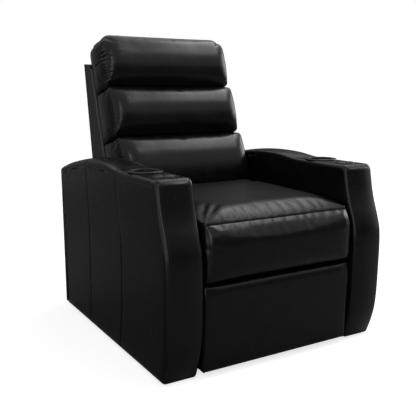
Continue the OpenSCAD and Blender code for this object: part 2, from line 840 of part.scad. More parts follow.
supply_size = [130, 60, 38];
supply_side_room = 72;
supply_lo = [rail_in_x - supply_side_room - supply_size[0],
  rear_cross_y - supply_size[1] / 2, rail_top];
supply_hi = supply_lo + supply_size;
inlet_size = [30, 14, 22];
inlet_t = 2.5;
module power_supply() {
  color(plastic) box(supply_lo, supply_hi);
}
module mains_inlet() {
  x = (supply_lo[0] + supply_hi[0]) / 2;
  z = (supply_lo[2] + supply_hi[2]) / 2;
  color(plastic) translate([x - inlet_size[0] / 2, supply_hi[1], z - inlet_size[2] / 2])
    difference() {
      cube(inlet_size);
      translate([inlet_t, inlet_t, inlet_t])
        cube(inlet_size + [-2 * inlet_t, over, -2 * inlet_t]);
    }
}

lead_r = 3;
lead_sides = 8;
lead_steps = 4;
lead_exit_in = 20;
lead_exit_z = rail_top + 16;
lead_straight = 40;
lead_sway = 20;
lead_lift = 10;
lead_low_z = rail_top + 8;
lead_bend = 60;
lead_mid_share = 0.3;
lead_from_x = supply_lo[0] + lead_exit_in;
lead_to_x = gearbox_w / 2 + motor_len / 2;
lead_route = [[lead_from_x, supply_lo[1] - run, lead_exit_z],
  [lead_from_x, supply_lo[1] - lead_straight, lead_exit_z],
  [lead_to_x + lead_sway, mid_cross_y, rail_top + lead_r + run],
  [lead_to_x + lead_sway / 2, mix(mid_cross_y, motor_y, lead_mid_share), rail_top + lead_lift],
  [lead_to_x, motor_y + lead_bend, lead_low_z], [lead_to_x, motor_y, lead_low_z],
  [lead_to_x, motor_y, motor_z - motor_r - run]];
// Points of a smooth curve through the middle of each stretch of the route
lead_line = cut_corners(lead_route, 2);
module power_lead() {
  m = len(lead_line) - 1;
  color(plastic) loft([for (i = [0 : m])
    let (t = unit(lead_line[min(i + 1, m)] - lead_line[max(i - 1, 0)]),
      a = unit(cross(t, [1, 0, 0])), b = cross(t, a))
    [for (j = [0 : lead_sides - 1])
      lead_line[i] + lead_r * (cos(360 * j / lead_sides) * a + sin(360 * j / lead_sides) * b)]]);
}

// Footrest linkage: two parallelograms, so the board turns with the front swing links

module front_swing_links() {
  color(steel) both() {
    difference() {
      plate_x(swing_x, link_t) strip(front_pivot, low_joint, link_w);
      pin_x(swing_x - over, link_t + 2 * over, rivet_r + fit, front_pivot);
    }
    for (p = [mid_joint, low_joint]) rivet(swing_x, p);
  }
}
// A rivet from the link at x inwards through the next layer, with its head
module rivet(x, at) {
  pin_x(x - layer_step - run, layer_step + run, rivet_r, at);
  pin_x(x - layer_step - run - head_t, head_t, head_r, at);
}
open_fit = 0.25;
module rear_swing_links() {
  color(steel) both() {
    difference() {
      plate_x(swing_x, link_t) strip(rear_pivot, rear_joint, link_w);
      pin_x(swing_x - over, link_t + 2 * over, rivet_r + fit, rear_pivot);
    }
    rivet(swing_x, rear_joint);
  }
}
module upper_push_links() {
  color(steel) both() {
    difference() {
      plate_x(push_x, link_t) {
        strip(rear_joint, mid_joint, link_w);
        strip(mid_joint, foot_joint, link_w);
      }
      pin_x(push_x - over, link_t + 2 * over, rivet_r + fit, mid_joint);
      pin_x(push_x - over, link_t + 2 * over, rivet_r + open_fit, rear_joint);
    }
    rivet(push_x, foot_joint);
  }
}
module lower_push_links() {
  color(steel) both() {
    difference() {
      plate_x(push_x, link_t) strip(low_joint, foot_low_joint, link_w);
      pin_x(push_x - over, link_t + 2 * over, rivet_r + fit, low_joint);
    }
    rivet(push_x, foot_low_joint);
  }
}

foot_top_z = border_z - foot_gap;
foot_lean = 2.5;
foot_lift = 9;
foot_len = (foot_top_z - floor_gap - foot_lift) / cos(foot_lean);
foot_set_back = 1;
foot_top_y = seat_front_y + foot_set_back;
// A point t down the footrest's front face and m behind it
function foot_at(t, m) = [foot_top_y + t * sin(foot_lean) + m * cos(foot_lean),
  foot_top_z - t * cos(foot_lean) + m * sin(foot_lean)];
foot_back_m = foot_pad_t + foot_board_t + run;

module footrest_brackets() {
  flange_l = 110;
  flange_s = 10;
  flange_t = 3;
  foot_flange_w = 25;
  reach = 9;
  color(steel) both() {
    difference() {
      plate_x(bracket_x, link_t) {
        polygon([foot_at(flange_s, foot_back_m), foot_at(flange_s, foot_back_m + reach),
          foot_joint + [link_w / 2, 0], foot_low_joint + [link_w / 2, 0],
          foot_at(flange_s + flange_l, foot_back_m + reach),
          foot_at(flange_s + flange_l, foot_back_m)]);
        translate(foot_joint) circle(d = link_w);
        translate(foot_low_joint) circle(d = link_w);
      }
      pin_x(bracket_x - over, link_t + 2 * over, rivet_r + fit, foot_joint);
      pin_x(bracket_x - over, link_t + 2 * over, rivet_r + open_fit, foot_low_joint);
    }
    plate_x(bracket_x - foot_flange_w, foot_flange_w) polygon([
      foot_at(flange_s, foot_back_m), foot_at(flange_s, foot_back_m + flange_t),
      foot_at(flange_s + flange_l, foot_back_m + flange_t),
      foot_at(flange_s + flange_l, foot_back_m)]);
  }
}

module footrest_board() {
  top_in = 8;
  low_in = 14;
  side_in = 10;
  t0 = top_in;
  t1 = foot_len - low_in;
  color(plywood) plate_x(side_in - seat_half, 2 * (seat_half - side_in)) polygon([
    foot_at(t0, foot_pad_t + run), foot_at(t1, foot_pad_t + run),
    foot_at(t1, foot_back_m), foot_at(t0, foot_back_m)]);
}

foot_edge_r = 22;
foot_tuck = 4;
foot_low_r = 10;
// One cross section of the footrest pad, with a round top edge and a slight crown
function foot_ring(u) = let (e = full(u), r = foot_edge_r)
  ring_at(seat_half * u, concat(
    [foot_at(foot_len, foot_pad_t), foot_at(foot_tuck * (1 - e), foot_pad_t)],
    [for (k = [0 : 3]) let (a = 30 * k) foot_at(r - r * cos(a) + foot_tuck * (1 - e),
      r - r * sin(a) + foot_tuck * (1 - e))],
    [for (k = [1 : crown_steps - 1]) let (t = k / crown_steps)
      foot_at(mix(r, foot_len, t), foot_tuck * (1 - e - e * bow(t)))],
    [foot_at(foot_len - foot_low_r / 2, foot_tuck * (1 - e)), foot_at(foot_len, foot_low_r)]));
module footrest_pad() {
  color(leather) loft([for (u = stations) foot_ring(u)]);
}

// Back, drawn along its lean: s runs up the back and n forwards from the front of its posts

back_face_behind = 73;
back_face_rise = 129;
back_foot = [back_pivot_y + back_face_behind, seat_seam_z + back_face_rise];
function back_at(s, n) = [back_foot[0] + s * sin(back_lean) - n * cos(back_lean),
  back_foot[1] + s * cos(back_lean) + n * sin(back_lean)];
head_over_shell = 58;
shell_top_s = head_top_s - head_over_shell;
shell_low_s = -398;
shell_low_n = -223;
shell_mid_s = 31;
shell_mid_n = -130;
shell_top_n = -66;
shell_front_n = -2;
shell_top_slope = 27;
shell_side_in = 7;
back_shell_half = seat_half - shell_side_in;
// The side panels end in front at their low corner and below at the pivot brackets
panel_low_s = -150;
panel_heel = [-240, -60];

function shell_back(d) = [back_at(shell_low_s, shell_low_n + d),
  back_at(shell_mid_s, shell_mid_n + d), back_at(shell_top_s - d, shell_top_n + d),
  back_at(shell_top_s - shell_top_slope - d, shell_front_n)];

module back_side_panels() {
  color(leather) both() plate_x(back_shell_half - shell_t, shell_t) polygon(concat(
    shell_back(shell_t + run), [back_at(panel_low_s, shell_front_n),
    back_at(panel_heel[0], panel_heel[1])]));
}
module outside_back() {
  color(leather) plate_x(-back_shell_half, 2 * back_shell_half)
    polygon(concat(shell_back(0), flip(shell_back(shell_t))));
}

post_x = back_bracket_x + back_bracket_t + run;
post_w = back_shell_half - shell_t - run - post_x;
post_low_s = -240;
post_top_in = 45;
post_top_s = shell_top_s - post_top_in;
post_n = [-45, -0.5];
back_rail_h = 40;
mid_rail_s = 90;
function back_strip(s0, s1, n0, n1) = [back_at(s0, n0), back_at(s1, n0), back_at(s1, n1),
  back_at(s0, n1)];
module back_posts() {
  color(plywood) both() plate_x(post_x, post_w)
    polygon(back_strip(post_low_s, post_top_s, post_n[0], post_n[1]));
}
module back_cross_rails() {
  low_s = post_low_s + 2 * back_rail_h;
  for (s = [low_s, mid_rail_s, post_top_s - back_rail_h / 2]) {
    half = s == low_s ? back_bracket_x - run : post_x;
    color(plywood) plate_x(-half, 2 * half) polygon(back_strip(s - back_rail_h / 2,
      s + back_rail_h / 2, post_n[0], post_n[1] - spring_d));
  }
}
module back_springs() {
  s0 = post_low_s + 1.5 * back_rail_h;
  n0 = post_n[1] - spring_d;
  color(steel) for (k = [-2 : 2]) translate([k * post_x * spring_row_share, back_at(s0, n0)[0],
      back_at(s0, n0)[1]]) rotate([90 - back_lean, 0, 0]) sinuous(post_top_s - s0);
}
bracket_knee_up = 30;
bracket_top_s = -130;
module back_pivot_brackets() {
  knee = back_at(post_low_s + bracket_knee_up, post_n[0] / 2);
  color(steel) both() difference() {
    plate_x(back_bracket_x, back_bracket_t) {
      strip(back_pivot, knee, 2 * plate_lug_r);
      strip(knee, back_at(bracket_top_s, post_n[0] / 2), 2 * plate_lug_r);
    }
    pin_x(back_bracket_x - over, back_bracket_t + 2 * over, back_pin_r + fit, back_pivot);
  }
}

// One cross section of a bolster between s0 and s1, with its side seam at n. Its front panel
// rises from creases that lie deeper than the seam. Behind, its top edge is rounded by rear_r
boxing_share = 0.66;
boxing_pull_share = 0.4;
crease_in = 16;
rear_steps = 4;
function bolster_ring(u, s0, s1, back_n, n, crown, tuck, rear_r) = let (e = full(u),
    d = tuck * (1 - e), s_top = s1 - d - tuck * e * boxing_pull_share)
  ring_at((back_shell_half - bolster_in) * u, concat(
    [back_at(s0 + d, back_n)],
    rear_r == 0 ? [back_at(s1 - d, back_n)] : [for (k = [0 : rear_steps])
      let (a = 90 * k / rear_steps)
      back_at(s_top - rear_r * (1 - sin(a)), back_n + rear_r * (1 - cos(a)))],
    [back_at(s_top, mix(back_n, n, boxing_share))],
    [for (k = [0 : crown_steps]) let (t = k / crown_steps)
      back_at(mix(s1 - d - tuck * e, s0 + d + tuck * e, t),
        n - crease_in * e + (crown + crease_in) * e * bow(t))],
    [back_at(s0 + d + tuck * e * boxing_pull_share, mix(back_n, n, boxing_share))]));
module bolster(s0, s1, back_n, n, crown, tuck, rear_r) {
  color(leather)
    loft([for (u = stations) bolster_ring(u, s0, s1, back_n, n, crown, tuck, rear_r)]);
}

crease_low_s = 52;
crease_high_s = 258;
lumbar_low_s = -196;
seam_half_gap = 1;
lumbar_crown = 29;
mid_crown = 26;
head_crown = 28;
bolster_tuck = 6;
head_tuck = 8;
head_rear_r = 44;
module lumbar_bolster() {
  bolster(lumbar_low_s, crease_low_s - seam_half_gap, 0, lumbar_depth, lumbar_crown,
    bolster_tuck, 0);
}
module mid_bolster() {
  bolster(crease_low_s + seam_half_gap, crease_high_s - seam_half_gap, 0, mid_depth,
    mid_crown, bolster_tuck, 0);
}
module head_bolster() {
  bolster(crease_high_s + seam_half_gap, head_top_s, run, head_depth, head_crown, head_tuck,
    head_rear_r);
}

base_side_rails();
base_cross_tubes();
glide_feet();
slide_tracks();
left_arm_frame();
right_arm_frame();
left_arm_outer_panel();
right_arm_outer_panel();
left_arm_inner_panel();
right_arm_inner_panel();
left_arm_band();
right_arm_band();
left_cup_holder();
right_cup_holder();
left_control_plate();
right_control_plate();
arm_brackets();
arm_bolts();
actuator_gearbox();
actuator_motor();
actuator_rail();
lead_screw();
actuator_mounts();
power_supply();
mains_inlet();
power_lead();
side_plates();
roller_axles();
link_pivot_pins();
back_pivot_pins();
seat_side_rails();
seat_cross_rails();
seat_springs();
seat_foam();
seat_cushion();
seat_front_border();
drive_tube();
slider_block();
front_rollers();
rear_rollers();
front_swing_links();
rear_swing_links();
upper_push_links();
lower_push_links();
footrest_brackets();
footrest_board();
footrest_pad();
back_posts();
back_cross_rails();
back_springs();
back_side_panels();
outside_back();
back_pivot_brackets();
lumbar_bolster();
mid_bolster();
head_bolster();
left_outer_button();
left_inner_button();
right_outer_button();
right_inner_button();
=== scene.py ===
import json
import math
import random

import bmesh
import bpy
import numpy as np
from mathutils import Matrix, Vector


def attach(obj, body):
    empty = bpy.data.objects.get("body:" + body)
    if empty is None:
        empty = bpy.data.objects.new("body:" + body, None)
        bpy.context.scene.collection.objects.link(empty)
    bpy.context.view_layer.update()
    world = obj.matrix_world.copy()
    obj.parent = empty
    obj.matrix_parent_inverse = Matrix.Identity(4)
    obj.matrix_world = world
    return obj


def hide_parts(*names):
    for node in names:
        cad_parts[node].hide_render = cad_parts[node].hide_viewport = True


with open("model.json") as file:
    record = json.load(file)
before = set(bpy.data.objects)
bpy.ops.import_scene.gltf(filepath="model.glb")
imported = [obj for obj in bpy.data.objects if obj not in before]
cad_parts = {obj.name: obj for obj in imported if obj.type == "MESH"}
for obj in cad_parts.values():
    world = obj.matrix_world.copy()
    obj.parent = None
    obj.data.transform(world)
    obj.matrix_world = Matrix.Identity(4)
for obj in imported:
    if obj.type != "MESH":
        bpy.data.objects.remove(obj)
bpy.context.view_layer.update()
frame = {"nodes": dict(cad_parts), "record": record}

# Sizes of the seat, in metres, as the CAD gives them
ARM_OUT, ARM_IN = 0.430, 0.302
HALF_DEPTH = 0.510
ARM_HIGH = 0.642
ARM_TOP = 0.98 * ARM_HIGH
ARM_LOW = 0.007
CUP = (0.366, -0.242)
PAD = (0.366, -0.374)
SEAT_HALF = 0.293
BOLSTER_HALF = 0.280
LEAN = math.radians(18.3)
BACK_FOOT = (0.313, 0.618)
FOOT_LEAN = math.radians(2.5)
FOOT_TOP = (-0.500, 0.293)


# Camera and light

def look_at(thing, target):
    direction = Vector(target) - thing.location
    thing.rotation_euler = direction.to_track_quat("-Z", "Y").to_euler()


def add_camera():
    camera = bpy.data.objects.new("camera", bpy.data.cameras.new("camera"))
    bpy.context.scene.collection.objects.link(camera)
    camera.location = (-1.205, -2.036, 0.879)
    look_at(camera, (-0.001, -0.025, 0.442))
    camera.data.lens = 53.7
    camera.data.sensor_width = 36
    bpy.context.scene.camera = camera


def add_softbox(name, place, target, size, power):
    light = bpy.data.lights.new(name, "AREA")
    light.shape = "RECTANGLE"
    light.size, light.size_y = size
    light.energy = power
    box = bpy.data.objects.new(name, light)
    bpy.context.scene.collection.objects.link(box)
    box.location = place
    look_at(box, target)


def white_rays(nodes, links):
    """1 for rays that see the background directly, in a mirror or through glass."""
    path = nodes.new("ShaderNodeLightPath")
    seen = path.outputs["Is Camera Ray"]
    for kind in ("Is Glossy Ray", "Is Transmission Ray"):
        most = nodes.new("ShaderNodeMath")
        most.operation = "MAXIMUM"
        links.new(seen, most.inputs[0])
        links.new(path.outputs[kind], most.inputs[1])
        seen = most.outputs[0]
    return seen


def light_studio():
    world = bpy.data.worlds.new("studio")
    bpy.context.scene.world = world
    world.use_nodes = True
    nodes, links = world.node_tree.nodes, world.node_tree.links
    nodes.clear()
    mix = nodes.new("ShaderNodeMixShader")
    links.new(white_rays(nodes, links), mix.inputs[0])
    for number, strength in ((1, 0.45), (2, 1.0)):
        glow = nodes.new("ShaderNodeBackground")
        glow.inputs["Color"].default_value = (1, 1, 1, 1)
        glow.inputs["Strength"].default_value = strength
        links.new(glow.outputs[0], mix.inputs[number])
    out = nodes.new("ShaderNodeOutputWorld")
    links.new(mix.outputs[0], out.inputs["Surface"])
    add_softbox("long_softbox", (2.6, -0.1, 4.6), (0, -0.1, 0.6), (4.8, 1.2), 107)
    add_softbox("right_softbox", (3.0, -0.1, 1.7), (0, 0, 0.8), (2.0, 1.4), 42)
    add_softbox("left_softbox", (-2.3, -1.5, 0.50), (-0.4, -0.4, 0.35), (0.5, 1.0), 5)
    add_softbox("camera_softbox", (-1.8, -2.9, 1.95), (0, 0, 0.9), (0.6, 3.4), 34)
    bpy.context.scene.view_settings.view_transform = "Standard"


def add_floor():
    bpy.ops.object.select_all(action="DESELECT")
    bpy.ops.mesh.primitive_plane_add(size=40, location=(0, 0, 0))
    floor = bpy.context.object
    floor.name = "floor"
    paint = bpy.data.materials.new("white floor")
    paint.use_nodes = True
    nodes, links = paint.node_tree.nodes, paint.node_tree.links
    nodes.clear()
    out = nodes.new("ShaderNodeOutputMaterial")
    matte = nodes.new("ShaderNodeBsdfDiffuse")
    matte.inputs["Color"].default_value = (0.6, 0.6, 0.6, 1)
    glow = nodes.new("ShaderNodeEmission")
    scale = nodes.new("ShaderNodeMath")
    scale.operation = "MULTIPLY"
    scale.inputs[1].default_value = 0.72
    add = nodes.new("ShaderNodeAddShader")
    links.new(white_rays(nodes, links), scale.inputs[0])
    links.new(scale.outputs[0], glow.inputs["Strength"])
    links.new(matte.outputs[0], add.inputs[0])
    links.new(glow.outputs[0], add.inputs[1])
    links.new(add.outputs[0], out.inputs["Surface"])
    floor.data.materials.append(paint)


def add_card(name, place, size, turn, tone):
    """A grey card beside the seat that only mirrors in it, as in a photo studio."""
    bpy.ops.object.select_all(action="DESELECT")
    bpy.ops.mesh.primitive_plane_add(size=1, location=place, rotation=turn)
    card = bpy.context.object
    card.name = name
    card.scale = (*size, 1)
    bpy.ops.object.transform_apply(location=False, rotation=False, scale=True)
    card.data.materials.append(tone)
    card.visible_camera = card.visible_diffuse = False
    card.visible_shadow = card.visible_transmission = False


def card_tone(name, grey):
    tone = bpy.data.materials.new(name)
    tone.use_nodes = True
    shader = tone.node_tree.nodes["Principled BSDF"]
    shader.inputs["Base Color"].default_value = (grey, grey, grey, 1)
    shader.inputs["Roughness"].default_value = 1.0
    return tone


def add_cards():
    dark = card_tone("dark grey card", 0.13)
    middle = card_tone("grey card", 0.29)
    light = card_tone("light grey card", 0.5)
    upright = (math.radians(90), 0, 0)
    add_card("card_on_floor", (0, 0, 0.002), (16, 16), (0, 0, 0), middle)
    add_card("card_left", (-2.05, 1.7, 0.004), (3.2, 4.6), (0, 0, 0), dark)
    add_card("card_behind_left", (-4, 3.6, 1.3), (8, 2.6), upright, middle)
    add_card("card_behind_right", (4, 3.6, 1.5), (8, 3.0), upright, dark)
    add_card("card_in_front", (0, -6.0, 1.15), (20, 2.3), upright, middle)
    add_card("card_above_front", (0, -6.0, 2.85), (20, 1.1), upright, light)


# Finishes

def start_finish(name):
    finish = bpy.data.materials.new(name)
    finish.use_nodes = True
    nodes, links = finish.node_tree.nodes, finish.node_tree.links
    shader = nodes["Principled BSDF"]
    place = nodes.new("ShaderNodeTexCoord")
    return finish, nodes, links, shader, place.outputs["Object"]


def noise(nodes, links, place, scale, detail=3.0, rough=0.5):
    tex = nodes.new("ShaderNodeTexNoise")
    tex.inputs["Scale"].default_value = scale
    tex.inputs["Detail"].default_value = detail
    tex.inputs["Roughness"].default_value = rough
    links.new(place, tex.inputs["Vector"])
    return tex.outputs["Fac"]


def spread(nodes, links, value, low, high):
    """Turns a noise value into one between low and high."""
    tool = nodes.new("ShaderNodeMapRange")
    tool.inputs["From Min"].default_value = 0.3
    tool.inputs["From Max"].default_value = 0.7
    tool.inputs["To Min"].default_value = low
    tool.inputs["To Max"].default_value = high
    links.new(value, tool.inputs["Value"])
    return tool.outputs["Result"]


def two_tones(nodes, links, value, dark, light):
    ramp = nodes.new("ShaderNodeValToRGB")
    ramp.color_ramp.elements[0].position = 0.3
    ramp.color_ramp.elements[0].color = (*dark, 1)
    ramp.color_ramp.elements[1].position = 0.7
    ramp.color_ramp.elements[1].color = (*light, 1)
    links.new(value, ramp.inputs["Fac"])
    return ramp.outputs["Color"]


def bump(nodes, links, shader, layers):
    """Chains bump layers (height, strength, distance in metres) into the shader's normal."""
    last = None
    for height, strength, distance in layers:
        tool = nodes.new("ShaderNodeBump")
        tool.inputs["Strength"].default_value = strength
        tool.inputs["Distance"].default_value = distance
        links.new(height, tool.inputs["Height"])
        if last:
            links.new(last, tool.inputs["Normal"])
        last = tool.outputs["Normal"]
    links.new(last, shader.inputs["Normal"])


def black_leather(name, smoothest, roughest, gloss):
    finish, nodes, links, shader, place = start_finish(name)
    cells = nodes.new("ShaderNodeTexVoronoi")
    cells.feature = "SMOOTH_F1"
    cells.inputs["Scale"].default_value = 620
    cells.inputs["Smoothness"].default_value = 0.4
    links.new(place, cells.inputs["Vector"])
    creases = noise(nodes, links, place, 150, 4, 0.6)
    waves = noise(nodes, links, place, 14, 2)
    links.new(two_tones(nodes, links, waves, (0.0018, 0.0018, 0.0019), (0.0027, 0.0027, 0.0028)),
              shader.inputs["Base Color"])
    links.new(spread(nodes, links, waves, smoothest, roughest), shader.inputs["Roughness"])
    shader.inputs["Specular IOR Level"].default_value = gloss
    bump(nodes, links, shader, [(waves, 0.015, 0.004), (creases, 0.022, 0.0004),
                                (cells.outputs["Distance"], 0.06, 0.0004)])
    return finish


def plain_finish(name, tone, dark, light, wear, rough, grain, relief, gloss=0.5, metal=0.0):
    """A finish of three noises, each given as its scale and detail: tone goes between the dark
    and the light colour, wear between two roughnesses, and grain makes the relief, which is a
    strength and a depth in metres. A roughness that is one number is the same all over."""
    finish, nodes, links, shader, place = start_finish(name)
    links.new(two_tones(nodes, links, noise(nodes, links, place, *tone), dark, light),
              shader.inputs["Base Color"])
    if wear:
        links.new(spread(nodes, links, noise(nodes, links, place, *wear), *rough),
                  shader.inputs["Roughness"])
    else:
        shader.inputs["Roughness"].default_value = rough
    shader.inputs["Specular IOR Level"].default_value = gloss
    shader.inputs["Metallic"].default_value = metal
    bump(nodes, links, shader, [(noise(nodes, links, place, *grain), *relief)])
    return finish


def bare_plywood():
    finish, nodes, links, shader, place = start_finish("bare plywood")
    stretch = nodes.new("ShaderNodeMapping")
    stretch.inputs["Scale"].default_value = (3, 3, 0.35)
    links.new(place, stretch.inputs["Vector"])
    grain = noise(nodes, links, stretch.outputs["Vector"], 45, 6, 0.65)
    tone = noise(nodes, links, place, 7, 3)
    links.new(two_tones(nodes, links, grain, (0.40, 0.27, 0.15), (0.60, 0.44, 0.27)),
              shader.inputs["Base Color"])
    links.new(spread(nodes, links, tone, 0.6, 0.75), shader.inputs["Roughness"])
    bump(nodes, links, shader, [(grain, 0.25, 0.0006)])
    return finish


LEATHER = black_leather("black leather", 0.24, 0.29, 0.20)
SAT_ON_LEATHER = black_leather("sat on black leather", 0.29, 0.34, 0.165)
# The piping's grey, far lighter than the black leather, is painted highlight: it stands in for the
# light line that the welt's rounded edge catches
PIPING_PAINTED_HIGHLIGHT = plain_finish("piping greyed as painted highlight", (150, 4, 0.6), (0.028, 0.028, 0.029),
                      (0.036, 0.036, 0.037), (150, 4, 0.6), (0.36, 0.44),
                      (150, 4, 0.6), (0.06, 0.0004), gloss=0.25)
LINING = plain_finish("black lining cloth", (800, 2), (0.004, 0.004, 0.0045),
                      (0.009, 0.009, 0.0095), None, 0.85, (800, 2), (0.3, 0.0004), gloss=0.05)
FINISHES = {
    "leather": LEATHER,
    "timber": bare_plywood(),
    "black_steel": plain_finish("black powder coat", (18, 4), (0.016, 0.016, 0.017),
                                (0.026, 0.026, 0.027), (18, 4), (0.42, 0.55),
                                (420, 3), (0.2, 0.0003)),
    "zinc": plain_finish("zinc plating", (30, 5, 0.6), (0.46, 0.47, 0.48), (0.60, 0.60, 0.58),
                         (260, 3), (0.28, 0.42), (260, 3), (0.08, 0.0002), metal=1.0),
    "black_plastic": plain_finish("moulded black plastic", (25, 3), (0.016, 0.016, 0.017),
                                  (0.022, 0.022, 0.023), (25, 3), (0.42, 0.55),
                                  (1100, 2), (0.15, 0.0002)),
    "cable_jacket": plain_finish("lead jacket", (220, 2), (0.012, 0.012, 0.013),
                                 (0.018, 0.018, 0.019), None, 0.45, (220, 2), (0.1, 0.0002)),
    "cup_trim": plain_finish("satin black ring", (60, 3), (0.010, 0.010, 0.011),
                             (0.014, 0.014, 0.015), (60, 3), (0.30, 0.38),
                             (60, 3), (0.04, 0.0004), gloss=0.16),
    "control_trim": plain_finish("gloss black plate", (90, 3), (0.006, 0.006, 0.0065),
                                 (0.009, 0.009, 0.0095), (90, 3), (0.20, 0.28),
                                 (90, 3), (0.03, 0.0004), gloss=0.3),
    "button": plain_finish("satin button", (400, 3), (0.030, 0.030, 0.032),
                           (0.042, 0.042, 0.045), (400, 3), (0.30, 0.40),
                           (400, 3), (0.08, 0.0002), metal=0.3),
    "foam": plain_finish("open cell foam", (700, 3), (0.62, 0.57, 0.44), (0.80, 0.76, 0.63),
                         None, 0.9, (700, 3), (0.5, 0.0008))}
WRAPPED_TIMBER = ("back_posts", "back_cross_rails")


def finish_frame():
    """Every CAD node that stays gets the finish of its slot, and the timber that shows behind
    the tilted head bolster is wrapped in lining cloth."""
    for part in frame["record"]["subparts"]:
        node = frame["nodes"][part["node"]]
        finish = LINING if part["node"] in WRAPPED_TIMBER else FINISHES[part["material_slot"]]
        if node.data.materials:
            for i in range(len(node.data.materials)):
                node.material_slots[i].link = "OBJECT"
                node.material_slots[i].material = finish
        else:
            node.data.materials.append(finish)


# Sewn and padded pieces

def sewn_piece(name, points, faces, body, nodes):
    """A leather piece from points and faces, riding on a body in place of its CAD nodes."""
    mesh = bpy.data.meshes.new(name)
    mesh.from_pydata([tuple(p) for p in points], [], faces)
    piece = bpy.data.objects.new(name, mesh)
    bpy.context.scene.collection.objects.link(piece)
    mesh.materials.append(LEATHER)
    mesh.polygons.foreach_set("use_smooth", [True] * len(mesh.polygons))
    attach(piece, body)
    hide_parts(*nodes)
    return piece


def spaced(low, high, step, close=(), fine=0.0012, count=4):
    """Positions from low to high about a step apart, packed closely round some of them."""
    whole = max(2, round((high - low) / step))
    places = [low + (high - low) * i / whole for i in range(whole + 1)]
    near = []
    for c in close:
        reach = [0.0]
        for i in range(count):
            reach.append(reach[-1] + fine * 1.55 ** i)
        near += [c + r for r in reach] + [c - r for r in reach[1:]]
    near = [p for p in near if low < p < high]
    places = [p for p in places if p in (low, high) or all(abs(p - n) > 0.45 * step for n in near)]
    merged = sorted(places + near)
    return np.array([p for i, p in enumerate(merged)
                     if i == 0 or p - merged[i - 1] > 0.0004 or p == high])


def boxed(xs, ss, ns):
    """The skin of a box as a lattice of points. Returns where they lie across, up and forward,
    the faces, and which points are on the front, on the two ends and on the front's rim."""
    index, points, cells = {}, [], []
    nx, nsx, nn = len(xs) - 1, len(ss) - 1, len(ns) - 1

    def at(i, j, k):
        if (i, j, k) not in index:
            index[i, j, k] = len(points)
            points.append((xs[i], ss[j], ns[k]))
            cells.append((i, j, k))
        return index[i, j, k]
    faces = []
    for i in range(nx):
        for j in range(nsx):
            faces.append((at(i, j, nn), at(i + 1, j, nn), at(i + 1, j + 1, nn), at(i, j + 1, nn)))
            faces.append((at(i, j, 0), at(i, j + 1, 0), at(i + 1, j + 1, 0), at(i + 1, j, 0)))
    for i in range(nx):
        for k in range(nn):
            faces.append((at(i, 0, k), at(i + 1, 0, k), at(i + 1, 0, k + 1), at(i, 0, k + 1)))
            faces.append((at(i, nsx, k), at(i, nsx, k + 1), at(i + 1, nsx, k + 1),
                          at(i + 1, nsx, k)))
    for j in range(nsx):
        for k in range(nn):
            faces.append((at(0, j, k), at(0, j, k + 1), at(0, j + 1, k + 1), at(0, j + 1, k)))
            faces.append((at(nx, j, k), at(nx, j + 1, k), at(nx, j + 1, k + 1), at(nx, j, k + 1)))
    i, j, k = np.array(cells).T
    front = k == nn
    ends = (i == 0) | (i == nx)
    rim = front & (ends | (j == 0) | (j == nsx))
    return *np.array(points).T, faces, front, ends, rim


def onto_arc(a, b):
    """The share that two reaches into a square corner keep when the corner is rounded."""
    return np.maximum(a, b) / np.maximum(np.hypot(a, b), 1e-9)


def round_corners(x, s, half_w, half_s, radius):
    """Draws the corners of a rectangle in to a radius."""
    dx = np.maximum(0, np.abs(x) - (half_w - radius))
    ds = np.maximum(0, np.abs(s) - (half_s - radius))
    lost = 1 - onto_arc(dx, ds)
    return x - np.sign(x) * dx * lost, s - np.sign(s) * ds * lost


def roll(edge, length):
    """Rises from 0 at an edge to 1 at a length from it, as a quarter circle does."""
    t = np.clip(edge / length, 0, 1)
    return np.sqrt(np.maximum(0, 1 - (1 - t) ** 2))


def ease(t):
    """Goes from 0 to 1 and starts and ends level."""
    t = np.clip(t, 0, 1)
    return t * t * (3 - 2 * t)


def gathers(seed, along, away, half, pitch, depth, reach, slim=0.20):
    """How far leather dips where a seam gathers it. The creases sit about a pitch apart between
    -half and half along the seam, and fade at about a reach away from it."""
    rng = random.Random(seed)
    dip = np.zeros_like(along)
    at = -half + pitch * rng.random()
    while at < half:
        strength = depth * rng.uniform(0.4, 1.0)
        width = pitch * slim * rng.uniform(0.8, 1.2)
        length = reach * rng.uniform(0.6, 1.3)
        lean = rng.uniform(-0.2, 0.2)
        centre = at + lean * away
        dip += strength * np.exp(-((along - centre) / width) ** 2) * np.exp(-away / length)
        at += pitch * rng.uniform(0.7, 1.35)
    return dip


def corner_fan(edge_x, edge_s, reach, folds):
    """How far leather dips in the folds that fan out where two seams meet in a corner."""
    near = np.exp(-(np.hypot(edge_x, edge_s) / reach) ** 2)
    angle = np.arctan2(edge_s, np.maximum(edge_x, 1e-6))
    return 0.0014 * near * (0.5 + 0.5 * np.cos(angle * folds))


def drawn_in(x, edge):
    """The puckered seam draws the ends of the seat and of its border in."""
    return x * (1 - 0.028 * np.exp(-(edge / 0.030) ** 2))


